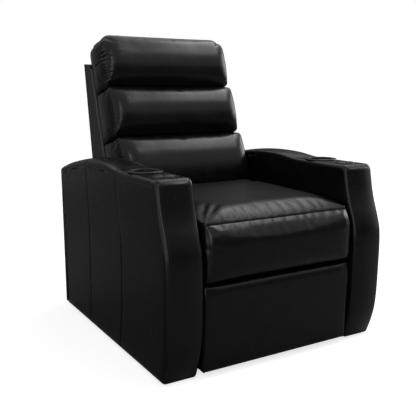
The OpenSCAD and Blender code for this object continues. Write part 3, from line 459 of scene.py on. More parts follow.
def plump(piece, held, pressure, grow, cap, bend=1.2, frames=20):
    """Fills a padded piece by Cloth pressure while its held points, the seams, stay put. The
    leather grows by a share, and no point moves further than the cap."""
    start = get_points(piece)
    group = piece.vertex_groups.new(name="seams")
    group.add([int(i) for i in np.flatnonzero(held)], 1.0, "REPLACE")
    cloth = piece.modifiers.new("filling", "CLOTH")
    settings = cloth.settings
    settings.quality = 6
    settings.mass = 0.3
    settings.tension_stiffness = settings.compression_stiffness = 12
    settings.shear_stiffness = 6
    settings.bending_stiffness = bend
    settings.tension_damping = 8
    settings.bending_damping = 1.0
    settings.air_damping = 2.0
    settings.use_pressure = True
    settings.uniform_pressure_force = pressure
    settings.shrink_min = -grow
    settings.vertex_group_mass = "seams"
    settings.pin_stiffness = 2.0
    settings.effector_weights.gravity = 0
    cloth.collision_settings.use_collision = False
    scene = bpy.context.scene
    for number in range(1, frames + 1):
        scene.frame_set(number)
    filled = piece.evaluated_get(bpy.context.evaluated_depsgraph_get())
    move = np.array([v.co[:] for v in filled.to_mesh().vertices]) - start
    filled.to_mesh_clear()
    piece.modifiers.remove(cloth)
    scene.frame_set(1)
    size = np.maximum(np.linalg.norm(move, axis=1, keepdims=True), 1e-9)
    move *= cap * np.tanh(size / cap) / size
    move[held] = 0
    set_points(piece, start + move)


def set_points(piece, points):
    piece.data.vertices.foreach_set("co", np.asarray(points, dtype=float).ravel())
    piece.data.update()


def get_points(piece, what="co"):
    """The places of a piece's points, or their normals, one row for each."""
    flat = np.zeros(len(piece.data.vertices) * 3)
    piece.data.vertices.foreach_get(what, flat)
    return flat.reshape(-1, 3)


def pick_out(piece):
    """Makes a piece the only one selected, and the active one."""
    bpy.ops.object.select_all(action="DESELECT")
    bpy.context.view_layer.objects.active = piece
    piece.select_set(True)


def smooth_once(piece):
    tool = piece.modifiers.new("smooth", "SUBSURF")
    tool.levels = tool.render_levels = 1
    pick_out(piece)
    bpy.ops.object.modifier_apply(modifier="smooth")


def merge(piece, distance, boards=False):
    """Joins points of a piece that meet and turns its faces outwards. The flat faces of boards
    become single ones first."""
    work = bmesh.new()
    work.from_mesh(piece.data)
    bmesh.ops.remove_doubles(work, verts=work.verts, dist=distance)
    if boards:
        bmesh.ops.dissolve_limit(work, angle_limit=math.radians(2), verts=work.verts,
                                 edges=work.edges)
        bmesh.ops.connect_verts_concave(work, faces=work.faces)
    bmesh.ops.recalc_face_normals(work, faces=work.faces)
    work.to_mesh(piece.data)
    work.free()


# Arms

def inset_line(points, distance):
    """A closed line, anticlockwise in Y and Z, moved inwards."""
    moved = []
    for i in range(len(points)):
        a, b, c = points[i - 1], points[i], points[(i + 1) % len(points)]
        m = left_of(b - a)
        n = left_of(c - b)
        moved.append(b + distance * (m + n) / (1 + m @ n))
    return moved


def left_of(v):
    v = v / np.linalg.norm(v)
    return np.array([-v[1], v[0]])


def cut_corners(line, times):
    for _ in range(times):
        cut = [line[0]]
        last = len(line) - 2
        for i, (p, q) in enumerate(zip(line, line[1:])):
            cut.append(p + (q - p) * (0.5 if i == 0 else 0.25))
            cut.append(p + (q - p) * (0.5 if i == last else 0.75))
        line = cut + [line[-1]]
    return line


CROWN = [(0.853, 0.902), (0.588, 0.957), (0.235, 0.999), (-0.08, 1.004)]
FRONT = [(-0.80, 0.980), (-0.871, 0.980), (-0.886, 0.915), (-0.912, 0.815), (-0.972, 0.69),
         (-1, 0.61), (-0.996, 0.36), (-0.988, 0.20), (-0.958, 0.10), (-0.913, 0.011)]


def arm_path(distance, low):
    """The arm's side outline, from its back foot over the top to its front foot, set inwards."""
    shares = [np.array([y * HALF_DEPTH, max(z * ARM_HIGH, low)]) for y, z in CROWN]
    back_y = shares[0][0]
    corner = shares[0]
    slope = shares[1] - corner
    ends = [np.array([back_y, low]), np.array([back_y, low + 0.03]), corner - [0, 0.030],
            corner - [0, 0.006], corner + 0.006 * slope / np.linalg.norm(slope)]
    level = [np.array([-0.159, ARM_TOP]), np.array([-0.231, ARM_TOP])]
    front = [np.array([y * HALF_DEPTH, z * ARM_HIGH]) for y, z in FRONT]
    foot = front[-1]
    front = [p for p in front if p[1] > low + 0.035]
    front.append(foot + (front[-1] - foot) * (low - foot[1]) / (front[-1][1] - foot[1]))
    line = ends + shares[1:] + level + front
    if distance:
        line = inset_line(line, distance)
    return cut_corners(line, 3)


def along(line):
    steps = [np.linalg.norm(q - p) for p, q in zip(line, line[1:])]
    return np.concatenate([[0], np.cumsum(steps)])


def pick(line, places):
    """Points of a line at fractional places of its index."""
    line = np.array(line)
    whole = np.arange(len(line))
    return np.stack([np.interp(places, whole, line[:, axis]) for axis in (0, 1)], 1)


SIDE_SEAMS = (0.130, -0.152)
SEAM_DEEP, SEAM_WIDE = 0.0042, 0.0019
EDGE_GROOVE = ((0, 0), (0.0008, 0.0002), (0.0015, 0.0008), (0.0021, 0.0014), (0.0027, 0.0008),
               (0.0034, 0.0002), (0.0044, 0))
CUP_OPENING = 0.0500
PAD_OPENING = (0.034, 0.0165)


def arm_samples(low):
    """Fractional places of the back, top and front of the arm's outline."""
    line = arm_path(0, low)
    pts = np.array(line)
    run = along(line)
    whole = np.arange(len(line))
    back_corner = int(np.argmin(np.hypot(pts[:, 0] - 0.4335, pts[:, 1] - 0.5775)))
    front_corner = int(np.argmin(np.hypot(pts[:, 0] + 0.440, pts[:, 1] - 0.625)))
    top = slice(back_corner, front_corner + 1)
    ys = spaced(pts[front_corner, 0], pts[back_corner, 0], 0.009, SIDE_SEAMS)
    ends = [pts[back_corner, 0] - e for e in (0.0015, 0.0035, 0.006)]
    ends += [pts[front_corner, 0] + e for e in (0.0015, 0.003, 0.0045)]
    ys = np.array(sorted(set(ys) | set(ends)))[::-1]
    top_places = np.interp(-ys, -pts[top, 0], whole[top])
    rows = np.array(sorted({*np.linspace(0, 1, 56), 0.955, 0.966, 0.975, 0.988, 0.994}))
    back_run = rows * run[back_corner]
    back_places = np.interp(back_run, run, whole)
    front_run = run[-1] - rows * (run[-1] - run[front_corner])
    front_places = np.interp(front_run, run, whole)
    return back_places, top_places, front_places, ys


def blend_grid(left, right, low, high, u, v):
    """A sheet of points spanned between four edges that meet at their ends."""
    u = u[:, None, None]
    v = v[None, :, None]
    sides = (1 - u) * left[None] + u * right[None]
    ends = (1 - v) * low[:, None] + v * high[:, None]
    corners = ((1 - u) * (1 - v) * left[0] + (1 - u) * v * left[-1]
               + u * (1 - v) * right[0] + u * v * right[-1])
    return sides + ends - corners


def arm_side(x_face, radius, low, seams, perimeter_seam, sign):
    """One side of an arm: rounded at its outline, with sewn grooves. Returns points, faces and
    the places of its outline's back, top and front."""
    back, top, front, ys = arm_samples(low)
    m, n = len(back) - 1, len(top) - 1
    turn = [math.radians(a) for a in (0, 15, 30, 45, 60, 75, 90)]
    rings = [(radius * (1 - math.cos(a)), -radius * (1 - math.sin(a))) for a in turn]
    if perimeter_seam:
        rings += [(radius + 0.001 + inwards, -deep) for inwards, deep in EDGE_GROOVE]
    rings += [(radius + 0.013, 0)]
    points, faces, loops = [], [], []
    seam_at = []

    def loop_of(distance):
        line = arm_path(distance, low)
        b, t, f = pick(line, back), pick(line, top), pick(line, front)
        foot_y = b[0][0] + (ys - ys[0]) / (ys[-1] - ys[0]) * (f[0][0] - b[0][0])
        keep = (ys < ys[0] - 0.02) & (ys > ys[-1] + 0.02)
        foot_y = np.where(keep, ys, foot_y)
        foot_z = np.full(len(ys), b[0][1])
        foot = np.stack([foot_y, foot_z], 1)
        foot[0], foot[-1] = b[0], f[0]
        return b, t, f, foot
    for distance, drop in rings:
        b, t, f, foot = loop_of(distance)
        loop = np.concatenate([b[:-1], t[:-1], f[::-1][:-1], foot[::-1][:-1]])
        spot = np.concatenate([np.full(m, ys[0]), ys[:-1], np.full(m, ys[-1]), ys[::-1][:-1]])
        on_foot = np.concatenate([np.zeros(2 * m + n), np.ones(n)])
        drops = np.where((on_foot > 0) & (distance > radius), 0, drop)
        loops.append(list(range(len(points), len(points) + len(loop))))
        points += [(drops[i], *loop[i]) for i in range(len(loop))]
        seam_at += list(spot)
    for a, c in zip(loops, loops[1:]):
        size = len(a)
        for i in range(size):
            j = (i + 1) % size
            faces.append((a[i], a[j], c[j], c[i]))
    inner = loops[-1]
    b, t, f, foot = loop_of(rings[-1][0])
    u = (ys[0] - ys) / (ys[0] - ys[-1])
    v = (b[:, 1] - b[0, 1]) / (b[-1, 1] - b[0, 1])
    sheet = blend_grid(b, f, foot, t, u, v)
    grid = -np.ones((n + 1, m + 1), dtype=int)
    grid[0, :m] = inner[:m]
    grid[:n, m] = inner[m:m + n]
    grid[n, m:0:-1] = inner[m + n:2 * m + n]
    grid[n:0:-1, 0] = inner[2 * m + n:]
    for i in range(n + 1):
        for j in range(m + 1):
            if grid[i, j] < 0:
                grid[i, j] = len(points)
                points.append((0, sheet[i, j, 0], sheet[i, j, 1]))
                seam_at.append(ys[i])
    for i in range(n):
        for j in range(m):
            faces.append((grid[i, j], grid[i, j + 1], grid[i + 1, j + 1], grid[i + 1, j]))
    points = np.array(points)
    seam_at = np.array(seam_at)
    depth = np.zeros(len(points))
    for seam in seams:
        gap = np.abs(seam_at - seam)
        depth += SEAM_DEEP * np.exp(-(gap / SEAM_WIDE) ** 2) + 0.0004 * np.exp(-(gap / 0.008))
    depth *= ease((points[:, 2] - low) / 0.02)
    x = x_face + points[:, 0] - depth
    return np.stack([sign * x, points[:, 1], points[:, 2]], 1), faces, (back, top, front)


def arm_cover(side_name, sign):
    """An arm's leather: its two sides, and the band over its top and front with a crown across
    it and openings for the cup holder and the control plate."""
    radius, inner_radius = 0.0170, 0.0150
    outer, outer_faces, places = arm_side(ARM_OUT, radius, ARM_LOW, SIDE_SEAMS, True, sign)
    inner, inner_faces, _ = arm_side(-ARM_IN, inner_radius, ARM_LOW, (), False, -sign)
    back, top, front = places
    path_places = np.concatenate([back[:-1], top[:-1], front[::-1]])
    path = pick(arm_path(0, ARM_LOW), path_places)
    ahead = np.gradient(path, axis=0)
    ahead /= np.linalg.norm(ahead, axis=1, keepdims=True)
    out = np.stack([ahead[:, 1], -ahead[:, 0]], 1)
    if out[len(back) // 2, 0] < 0:
        out = -out
    count = 22
    share = (1 - np.cos(np.linspace(0, math.pi, count + 1))) / 2
    x_line = (ARM_OUT - radius) + ((ARM_IN + inner_radius) - (ARM_OUT - radius)) * share
    crown = 0.0052 * np.sin(math.pi * share) ** 0.8
    y, z = path.T
    flat = np.where(z > ARM_TOP - 0.012, ease((y + 0.180) / 0.06), 1)
    flat = np.where(z < ARM_LOW + 0.03, ease((z - ARM_LOW) / 0.03), flat)
    band, faces = [], []
    for p, o, w in zip(path, out, flat):
        for xx, c in zip(x_line, crown):
            move = o * c * w
            band.append((sign * xx, p[0] + move[0], p[1] + move[1]))
    band = np.array(band)
    row = count + 1
    for i in range(len(path) - 1):
        for k in range(count):
            corner = i * row + k
            quad = (corner, corner + 1, corner + row + 1, corner + row)
            mid = band[list(quad)].mean(0)
            if mid[2] > ARM_TOP - 0.02:
                if math.hypot(abs(mid[0]) - CUP[0], mid[1] - CUP[1]) < CUP_OPENING:
                    continue
                aside, ahead_of = abs(abs(mid[0]) - PAD[0]), abs(mid[1] - PAD[1])
                if aside < PAD_OPENING[0] and ahead_of < PAD_OPENING[1]:
                    continue
            faces.append(quad)
    points = np.concatenate([outer, band, inner])
    all_faces = list(outer_faces)
    all_faces += [tuple(c + len(outer) for c in f) for f in faces]
    all_faces += [tuple(c + len(outer) + len(band) for c in f) for f in inner_faces]
    nodes = [side_name + n for n in ("_arm_outer_panel", "_arm_band", "_arm_inner_panel")]
    piece = sewn_piece(side_name + "_arm_cover", points, all_faces, "base", nodes)
    merge(piece, 0.00005)


# Back

def back_point(s, n):
    """A point s up the back's lean and n in front of its posts, as Y and Z."""
    return (BACK_FOOT[0] + s * math.sin(LEAN) - n * math.cos(LEAN),
            BACK_FOOT[1] + s * math.cos(LEAN) + n * math.sin(LEAN))


CREASE_DEEP = 0.029
FRONT_TURN = 0.062


def bolster(name, low, high, seam_n, crown, body, rear_r, gather, pleat, seed):
    """A bolster: side panels back to the shell, and a front panel that wraps round to seams at
    the sides and dips into the creases above and below."""
    half_w = BOLSTER_HALF
    half_s = (high - low) / 2
    mid = (high + low) / 2
    close = list(np.arange(0.0, 0.075, 0.0052)[1:])
    xs = spaced(-half_w + 0.075, half_w - 0.075, 0.0095)
    xs = np.array([-half_w] + [-half_w + e for e in close] + list(xs)
                  + [half_w - e for e in reversed(close)] + [half_w])
    ss = spaced(-half_s, half_s, 0.0044, (-half_s + 0.002, half_s - 0.002), 0.0018, 2)
    ns = spaced(0, seam_n, 0.0075)
    x, s, n, faces, front, ends, rim = boxed(xs, ss, ns)
    share = n / seam_n
    near_front = ease(share * 1.5)
    if rear_r:
        near_front = np.where(s > 0, np.maximum(near_front, 0.75), near_front)
    # The corners are rounded, the upper ones of the head bolster more
    radius = np.where((s > 0) & (rear_r > 0), 0.048, 0.020)
    x_round, s_round = round_corners(x, s, half_w, half_s, radius)
    x2 = x + (x_round - x) * near_front
    s2 = s + (s_round - s) * near_front
    if rear_r:
        s2 = s2 - 0.008 * (1 - roll(half_w - np.abs(x), 0.08)) * near_front * (s > 0)
    edge_x = half_w - np.abs(x)
    edge_s = half_s - np.abs(s)
    end = 1 - roll(edge_s, 0.10)
    turn = roll(edge_x, FRONT_TURN)
    lift = roll(edge_s, half_s)
    seam = seam_n - CREASE_DEEP * end * (0.35 + 0.65 * turn)
    rise = turn * crown * lift ** 1.15 + turn * 0.006 * lift * (1 - ease(edge_x / 0.16))
    # Gathers along the two side seams and a few along the creases
    near_x = np.where(front, edge_x, (seam_n - n) * 0.9)
    near_s = np.where(front, edge_s, 1)
    dip = np.zeros_like(x)
    for number, depth, here in ((0, gather, x2 < 0), (1, 0.3 * gather, x2 > 0)):
        dip += here * gathers(seed + number, s2, near_x, half_s, pitch=0.023, depth=depth,
                              reach=0.030, slim=0.27)
    dip += (s2 > 0) * gathers(seed + 2, x2, near_s, half_w, pitch=0.060, depth=0.0024, reach=0.020)
    dip += (s2 < 0) * gathers(seed + 3, x2, near_s, half_w, pitch=0.065, depth=0.0022, reach=0.018)
    hold = roll(np.minimum(edge_x, edge_s), 0.006)
    n2 = np.where(front, seam + rise - dip * hold * 0.3, n * (seam / seam_n))
    x2 = np.where(front, x2 - np.sign(x2) * dip * hold * 0.6 * (1 - turn), x2)
    # The boxing swells between its seams and is drawn in where the gathers pull
    swell = 0.005 * np.sin(math.pi * share) * roll(edge_s, 0.05) - 0.003 * share ** 3
    x2 = np.where(ends & ~front, np.sign(x) * (np.abs(x2) + swell - dip * 0.8 * near_front), x2)
    # The seam itself stands a little proud
    x2 = np.where(front & ends, x2 + np.sign(x) * 0.0016, x2)
    # The upper rear edge of the head bolster is rounded
    if rear_r:
        cut = np.maximum(0, s2 - (half_s - rear_r))
        back = np.maximum(0, rear_r - n2)
        lost = 1 - onto_arc(cut, back)
        s2 = s2 - cut * lost
        n2 = n2 + back * lost
    y, z = back_point(s2 + mid, n2)
    piece = sewn_piece(name + "_cover", np.stack([x2, y, z], 1), faces, body, [name])
    merge(piece, 0.00001)
    plump(piece, rim | ~(front | ends) | (n == 0), pressure=5.0, grow=0.001, cap=0.010, bend=3.0)
    settle(piece, np.where(front, dip * hold * 0.7, 0), low, high)
    smooth_once(piece)
    gather_seams(piece, seed + 4, low, high, seam_n, pleat, name == "lumbar_bolster")


def lean_places(pts):
    """How far points lie up the back's lean and in front of its posts."""
    dy = pts[:, 1] - BACK_FOOT[0]
    dz = pts[:, 2] - BACK_FOOT[1]
    return (dy * math.sin(LEAN) + dz * math.cos(LEAN),
            -dy * math.cos(LEAN) + dz * math.sin(LEAN))


def gather_seams(piece, seed, low, high, seam_n, pleat, pinched):
    """Small pleats across the two side seams of a bolster, deeper on its left, and there one
    pinched fold where it is asked for."""
    pts = get_points(piece)
    s, n = lean_places(pts)
    edge_s = np.minimum(s - low, high - s)
    seam = seam_n - 0.35 * CREASE_DEEP * (1 - roll(edge_s, 0.10))
    away = np.hypot(BOLSTER_HALF - np.abs(pts[:, 0]), n - seam)
    mid = (high + low) / 2
    dip = gathers(seed, s - mid, away, (high - low) / 2, pitch=0.0135, depth=pleat, reach=0.022,
                  slim=0.30)
    dip *= np.where(pts[:, 0] < 0, 1, 0.3) * ease(edge_s / 0.012)
    if pinched:
        behind, below = seam - n, high - s
        gap = (below - 0.003 - 0.55 * behind) / math.hypot(1, 0.55)
        reach = ease(behind / 0.006) * ease((0.042 - behind) / 0.020)
        reach *= np.abs(pts[:, 0]) > BOLSTER_HALF - 0.003
        dip -= np.where(pts[:, 0] < 0, 0.0050 * np.exp(-(gap / 0.0038) ** 2) * reach, 0)
    set_points(piece, pts - get_points(piece, "normal") * dip[:, None])


def settle(piece, depth, low, high):
    """Draws the filled leather of a bolster in again where its seams gather it, and flattens it
    where it meets its neighbours."""
    pts = get_points(piece)
    s, n = lean_places(pts)
    pts[:, 1], pts[:, 2] = back_point(np.clip(s, low, high), n - depth)
    set_points(piece, pts)


# Seat, its front border and the footrest

def seat_cushion():
    front_y, rear_y, low, seam = -0.480, 0.082, 0.4553, 0.489
    half_s = (rear_y - front_y) / 2
    mid = (rear_y + front_y) / 2
    xs = spaced(-SEAT_HALF, SEAT_HALF, 0.0058, (-SEAT_HALF + 0.002, SEAT_HALF - 0.002), 0.002, 3)
    ss = spaced(-half_s, half_s, 0.009, (-half_s + 0.003,), 0.0016, 6)
    ns = spaced(0, seam - low, 0.0085)
    x, s, n, faces, top, _, rim = boxed(xs, ss, ns)
    x2, s2 = round_corners(x, s, SEAT_HALF, half_s, 0.018)
    edge_x = SEAT_HALF - np.abs(x2)
    front_edge = s2 + half_s
    rear_edge = half_s - s2
    full = roll(edge_x, 0.10) ** 0.8
    rise = 0.033 * roll(front_edge, 0.060) * (0.10 + 0.90 * full)
    rise *= 0.2 + 0.7 * roll(rear_edge, 0.045) + 0.1 * roll(rear_edge, 0.30)
    rise += 0.008 * full * ease(front_edge / 0.5)
    rise -= 0.020 * (1 - full) * ease(front_edge / 0.05) * 0.5
    dip = gathers(41, x2, front_edge, SEAT_HALF, pitch=0.040, depth=0.0015, reach=0.030, slim=0.28)
    dip += gathers(42, s2, edge_x, half_s, pitch=0.045, depth=0.0014, reach=0.030)
    dip += corner_fan(edge_x, front_edge, reach=0.045, folds=11)
    hold = roll(np.minimum(edge_x, front_edge), 0.007)
    x2 = drawn_in(x2, front_edge)
    z = np.where(top, seam + rise - dip * hold, low + n)
    y = mid + s2
    piece = sewn_piece("seat_cushion_cover", np.stack([x2, y, z], 1), faces, "carriage",
                       ["seat_cushion"])
    piece.data.materials[0] = SAT_ON_LEATHER
    merge(piece, 0.00001)
    plump(piece, rim | ~top, pressure=2.0, grow=0.004, cap=0.007)
    smooth_once(piece)


def front_border():
    low, seam, back_y = 0.305, 0.4875, -0.459
    half_s = (seam - low) / 2
    mid = (seam + low) / 2
    half_w = SEAT_HALF
    seam_n = 0.017
    xs = spaced(-half_w, half_w, 0.0058, (-half_w + 0.002, half_w - 0.002), 0.0018, 4)
    ss = spaced(-half_s, half_s, 0.006, (half_s - 0.002,), 0.0016, 4)
    ns = spaced(0, seam_n, 0.008)
    x, s, n, faces, front, _, rim = boxed(xs, ss, ns)
    x2, s2 = round_corners(x, s, half_w, half_s, 0.012)
    edge_x = half_w - np.abs(x2)
    top_edge = half_s - s2
    low_edge = s2 + half_s
    rise = 0.033 * roll(top_edge, 0.066) * (0.3 + 0.7 * roll(edge_x, 0.045))
    rise *= 0.3 + 0.7 * roll(low_edge, 0.035)
    rise += 0.002 * roll(edge_x, 0.2) * roll(low_edge, 0.1) * roll(top_edge, 0.1)
    rise -= 0.007 * (1 - roll(low_edge, 0.016)) + 0.012 * (1 - roll(edge_x, 0.016))
    dip = gathers(51, x2, top_edge, half_w, pitch=0.040, depth=0.0014, reach=0.026, slim=0.28)
    dip += (s2 > 0) * gathers(52, s2, edge_x, half_s, pitch=0.06, depth=0.001, reach=0.02)
    dip += corner_fan(edge_x, top_edge, reach=0.05, folds=10)
    hold = roll(np.minimum(edge_x, top_edge), 0.007)
    x2 = drawn_in(x2, top_edge)
    n2 = np.where(front, seam_n + rise - dip * hold, n * (1 - 0.35 * (s2 < -half_s + 0.001)))
    piece = sewn_piece("seat_border_cover", np.stack([x2, back_y - n2, mid + s2], 1), faces,
                       "carriage", ["seat_front_border"])
    merge(piece, 0.00001)
    plump(piece, rim | ~front, pressure=2.0, grow=0.003, cap=0.006)
    smooth_once(piece)


def foot_point(t, m):
    """A point t down the footrest's front face and m behind it, as Y and Z."""
    return (FOOT_TOP[0] + t * math.sin(FOOT_LEAN) + m * math.cos(FOOT_LEAN),
            FOOT_TOP[1] - t * math.cos(FOOT_LEAN) + m * math.sin(FOOT_LEAN))


def footrest_pad():
    stands_up = 0.005
    length = (0.293 - 0.016) / math.cos(FOOT_LEAN) + stands_up
    deep = 0.060
    half_s = length / 2
    half_w = SEAT_HALF
    xs = spaced(-half_w, half_w, 0.008, (-half_w + 0.002, half_w - 0.002), 0.0018, 6)
    ss = spaced(-half_s, half_s, 0.008, (half_s - 0.002,), 0.0018, 6)
    ns = spaced(0, deep, 0.008)
    x, s, n, faces, front, _, _ = boxed(xs, ss, ns)
    x2, s2 = round_corners(x, s, half_w, half_s, 0.010)
    edge_x = half_w - np.abs(x2)
    top_edge = half_s - s2
    low_edge = s2 + half_s
    cut = 0.015 * (1 - roll(top_edge, 0.032)) + 0.012 * (1 - roll(edge_x, 0.016))
    cut += 0.012 * (1 - roll(low_edge, 0.014))
    cut -= 0.003 * roll(edge_x, 0.12) * roll(top_edge, 0.12) * roll(low_edge, 0.1)
    corner = np.exp(-(np.hypot(edge_x - 0.012, top_edge - 0.018) / 0.022) ** 2)
    dip = 0.004 * corner + gathers(61, x2, top_edge, half_w, pitch=0.11, depth=0.0016, reach=0.02)
    cut += dip * roll(np.minimum(edge_x, top_edge), 0.01)
    n2 = np.where(front, n - cut, np.minimum(n, deep - 0.026 * (np.abs(s2) > half_s - 1e-5)))
    y, z = foot_point(half_s - s2 - stands_up, deep - n2)
    piece = sewn_piece("footrest_cover", np.stack([x2, y, z], 1), faces, "footrest",
                       ["footrest_pad"])
    merge(piece, 0.00001)
    smooth_once(piece)


# The back's shell

def shell_cover(name, node, body, width, finish):
    """A cover from a board of the CAD: merged, its edges rounded, then smoothed."""
    source = frame["nodes"][node]
    piece = bpy.data.objects.new(name, source.data.copy())
    bpy.context.scene.collection.objects.link(piece)
    piece.data.transform(source.matrix_world)
    merge(piece, 0.00002, boards=True)
    piece.data.materials.clear()
    piece.data.materials.append(finish)
    pick_out(piece)
    bpy.ops.object.shade_smooth_by_angle(angle=math.radians(40))
    tool = piece.modifiers.new("edges", "BEVEL")
    tool.width = width
    tool.segments = 4
    tool.limit_method = "ANGLE"
    tool.angle_limit = math.radians(20)
    tool.harden_normals = True
    bpy.ops.object.modifier_apply(modifier="edges")
    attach(piece, body)
    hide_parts(node)
    return piece


def bevel_chosen(piece, kind, chosen, offset, segments):
    """In edit mode, bevels those edges, or the edges of those faces, that a test chooses."""
    bpy.ops.mesh.select_mode(type=kind)
    bpy.ops.mesh.select_all(action="DESELECT")
    bpy.ops.object.mode_set(mode="OBJECT")
    for item in piece.data.polygons if kind == "FACE" else piece.data.edges:
        item.select = chosen(item)
    bpy.ops.object.mode_set(mode="EDIT")
    bpy.ops.mesh.bevel(offset=offset, segments=segments, affect="EDGES")


def shell_welt(side_name, sign):
    """The piping along the front edge of the shell's side, from the head bolster down."""
    top, foot = Vector((0, 0.4330, 0.9715)), Vector((0, 0.2702, 0.4795))
    run = foot - top
    bpy.ops.object.select_all(action="DESELECT")
    bpy.ops.mesh.primitive_circle_add(vertices=24, radius=0.0058, fill_type="NGON",
                                      location=(sign * 0.2812, top.y, top.z),
                                      rotation=run.to_track_quat("Z", "X").to_euler())
    welt = bpy.context.object
    welt.name = side_name + "_shell_welt"
    bpy.ops.object.transform_apply(location=True, rotation=True, scale=True)
    bpy.ops.object.mode_set(mode="EDIT")
    bpy.ops.mesh.select_all(action="SELECT")
    bpy.ops.mesh.extrude_region_move(TRANSFORM_OT_translate={"value": tuple(run)})
    bpy.ops.mesh.select_all(action="SELECT")
    bpy.ops.mesh.normals_make_consistent(inside=False)
    bevel_chosen(welt, "FACE", lambda f: len(f.vertices) > 4, 0.0014, 3)
    bpy.ops.object.mode_set(mode="OBJECT")
    # Its grey finish is painted highlight along the welt
    welt.data.materials.append(PIPING_PAINTED_HIGHLIGHT)
    bpy.ops.object.shade_smooth_by_angle(angle=math.radians(50))
    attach(welt, "back")


# Cup holders, control plates and buttons

def turned(name, profile, centre, segments, finish, node, body):
    """A ring turned from a profile of radius and height about an upright line."""
    mesh = bpy.data.meshes.new(name)
    edges = [(i, i + 1) for i in range(len(profile) - 1)]
    mesh.from_pydata([(r, 0, z) for r, z in profile], edges, [])
    piece = bpy.data.objects.new(name, mesh)
    bpy.context.scene.collection.objects.link(piece)
    pick_out(piece)
    bpy.ops.object.mode_set(mode="EDIT")
    bpy.ops.mesh.select_all(action="SELECT")
    bpy.ops.mesh.spin(steps=segments, angle=2 * math.pi, center=(0, 0, 0), axis=(0, 0, 1))
    bpy.ops.mesh.select_all(action="SELECT")
    bpy.ops.mesh.remove_doubles(threshold=0.00002)
    bpy.ops.mesh.normals_make_consistent(inside=False)
    bpy.ops.object.mode_set(mode="OBJECT")
    for v in piece.data.vertices:
        v.co.x += centre[0]
        v.co.y += centre[1]
    piece.data.materials.append(finish)
    bpy.ops.object.shade_smooth_by_angle(angle=math.radians(50))
    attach(piece, body)
    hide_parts(node)


def arc(centre, radius, start, stop, count):
    turns = [math.radians(start + (stop - start) * i / count) for i in range(count + 1)]
    return [(centre[0] + radius * math.cos(a), centre[1] + radius * math.sin(a)) for a in turns]


def cup_holder(side_name, sign):
    """The ring of a cup holder and the cup inside it, whose floor is 77 mm below the arm's top."""
    top = ARM_TOP
    low = top - 0.077
    profile = [(0, low), (0.0435, low)]
    profile += arc((0.0435, low + 0.0015), 0.0015, -90, 0, 3)
    profile += [(0.045, top + 0.0003), (0.0580, top + 0.0003)]
    profile += arc((0.0563, top + 0.0020), 0.0026, -35, 100, 8)
    profile += [(0.0535, top + 0.0040), (0.0505, top + 0.0033), (0.0485, top + 0.0034)]
    profile += arc((0.0460, top + 0.0022), 0.0026, 70, 180, 7)
    profile += [(0.0432, top - 0.004), (0.0430, top - 0.012)]
    profile += [(0.0425, low + 0.012)]
    profile += arc((0.0365, low + 0.008), 0.006, 0, -90, 5)
    profile += [(0, low + 0.002)]
    turned(side_name + "_cup_ring", profile, (sign * CUP[0], CUP[1]), 96, FINISHES["cup_trim"],
           side_name + "_cup_holder", "base")


def pill_piece(name, half_len, half_w, low, high, edge, centre, finish):
    """An upright block with round ends and a softened top edge."""
    bpy.ops.object.select_all(action="DESELECT")
    bpy.ops.mesh.primitive_cube_add(size=1, location=(0, 0, 0))
    piece = bpy.context.object
    piece.name = name
    bpy.ops.object.mode_set(mode="EDIT")
    bpy.ops.mesh.select_all(action="SELECT")
    bpy.ops.transform.resize(value=(2 * half_len, 2 * half_w, high - low))

    def upright(line):
        a, b = (piece.data.vertices[i].co for i in line.vertices)
        return abs(a.z - b.z) > 0.5 * (high - low)
    bevel_chosen(piece, "EDGE", upright, half_w * 0.995, 14)
    bpy.ops.mesh.select_all(action="SELECT")
    bpy.ops.mesh.remove_doubles(threshold=0.00002)
    bevel_chosen(piece, "FACE", lambda f: f.normal.z > 0.9, edge, 4)
    bpy.ops.object.mode_set(mode="OBJECT")
    for v in piece.data.vertices:
        v.co.x += centre[0]
        v.co.y += centre[1]
        v.co.z += (high + low) / 2
    piece.data.materials.clear()
    piece.data.materials.append(finish)
    pick_out(piece)
    bpy.ops.object.shade_smooth_by_angle(angle=math.radians(40))
    return piece


def control_panel(side_name, sign):
    plate = pill_piece(side_name + "_plate", 0.038, 0.021, ARM_TOP - 0.006, ARM_TOP + 0.0022,
                       0.0018, (sign * PAD[0], PAD[1]), FINISHES["control_trim"])
    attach(plate, "base")
    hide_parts(side_name + "_control_plate")
    for end, step in (("outer", 1), ("inner", -1)):
        x = sign * (PAD[0] + step * 0.017)
        key = pill_piece(side_name + "_" + end + "_key", 0.013, 0.0104, ARM_TOP - 0.006,
                         ARM_TOP + 0.0040, 0.0014, (x, PAD[1]), FINISHES["button"])
        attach(key, side_name + "_" + end + "_key")
        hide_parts(side_name + "_" + end + "_button")


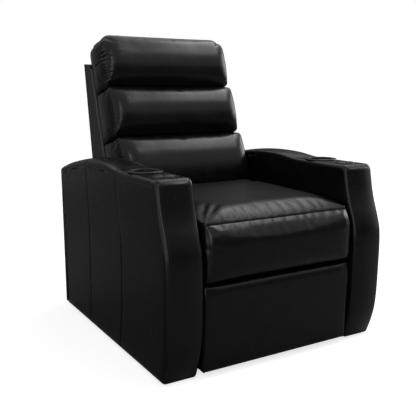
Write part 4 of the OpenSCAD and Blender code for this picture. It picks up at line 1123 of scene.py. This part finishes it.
def dust_cover_and_shade_sheet():
    """The black dust cloth stretched under the base frame, which sags a little in its middle. Its
    black is partly painted shade: it covers the floor under the seat, where shade would fall.
    """
    wide, long = 0.512, 0.660
    thick, middle_y, height, sag = 0.0008, 0.019, 0.0186, 0.004
    bpy.ops.object.select_all(action="DESELECT")
    bpy.ops.mesh.primitive_grid_add(x_subdivisions=30, y_subdivisions=40, size=1,
                                    location=(0, 0, 0))
    cloth = bpy.context.object
    cloth.name = "base_dust_cover"
    bpy.ops.object.mode_set(mode="EDIT")
    bpy.ops.mesh.select_all(action="SELECT")
    bpy.ops.transform.resize(value=(wide, long, 1))
    bpy.ops.mesh.extrude_region_move(TRANSFORM_OT_translate={"value": (0, 0, thick)})
    bpy.ops.mesh.select_all(action="SELECT")
    bpy.ops.mesh.normals_make_consistent(inside=False)
    bpy.ops.object.mode_set(mode="OBJECT")
    for v in cloth.data.vertices:
        share = math.cos(math.pi * v.co.x / wide) * math.cos(math.pi * v.co.y / long)
        v.co.y += middle_y
        v.co.z += height - sag * share
    # Black lining: a real dust cloth, and also painted shade over the floor under the seat
    cloth.data.materials.append(LINING)
    bpy.ops.object.shade_smooth_by_angle(angle=math.radians(40))
    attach(cloth, "base")


add_camera()
light_studio()
add_floor()
add_cards()
finish_frame()
for side_name, sign in (("left", -1), ("right", 1)):
    arm_cover(side_name, sign)
    cup_holder(side_name, sign)
    control_panel(side_name, sign)
    shell_welt(side_name, sign)
bolster("lumbar_bolster", low=-0.196, high=0.0515, seam_n=0.165, crown=0.030, body="back",
        rear_r=0, gather=0.0012, pleat=0.0016, seed=11)
bolster("mid_bolster", low=0.0525, high=0.2575, seam_n=0.147, crown=0.028, body="back",
        rear_r=0, gather=0.0008, pleat=0.0013, seed=21)
bolster("head_bolster", low=0.2585, high=0.476, seam_n=0.132, crown=0.029, body="headrest",
        rear_r=0.044, gather=0.0015, pleat=0.0055, seed=31)
seat_cushion()
front_border()
footrest_pad()
dust_cover_and_shade_sheet()
shell_cover("outside_back_cover", "outside_back", "back", 0.004, LEATHER)
shell_cover("back_side_covers", "back_side_panels", "back", 0.0035, LEATHER)
shell_cover("footrest_board_lining", "footrest_board", "footrest", 0.002, LINING)
shell_cover("seat_cross_rail_lining", "seat_cross_rails", "carriage", 0.002, LINING)
shell_cover("seat_foam_wrap", "seat_foam", "carriage", 0.006, LINING)
shell_cover("seat_side_rail_lining", "seat_side_rails", "carriage", 0.002, LINING)
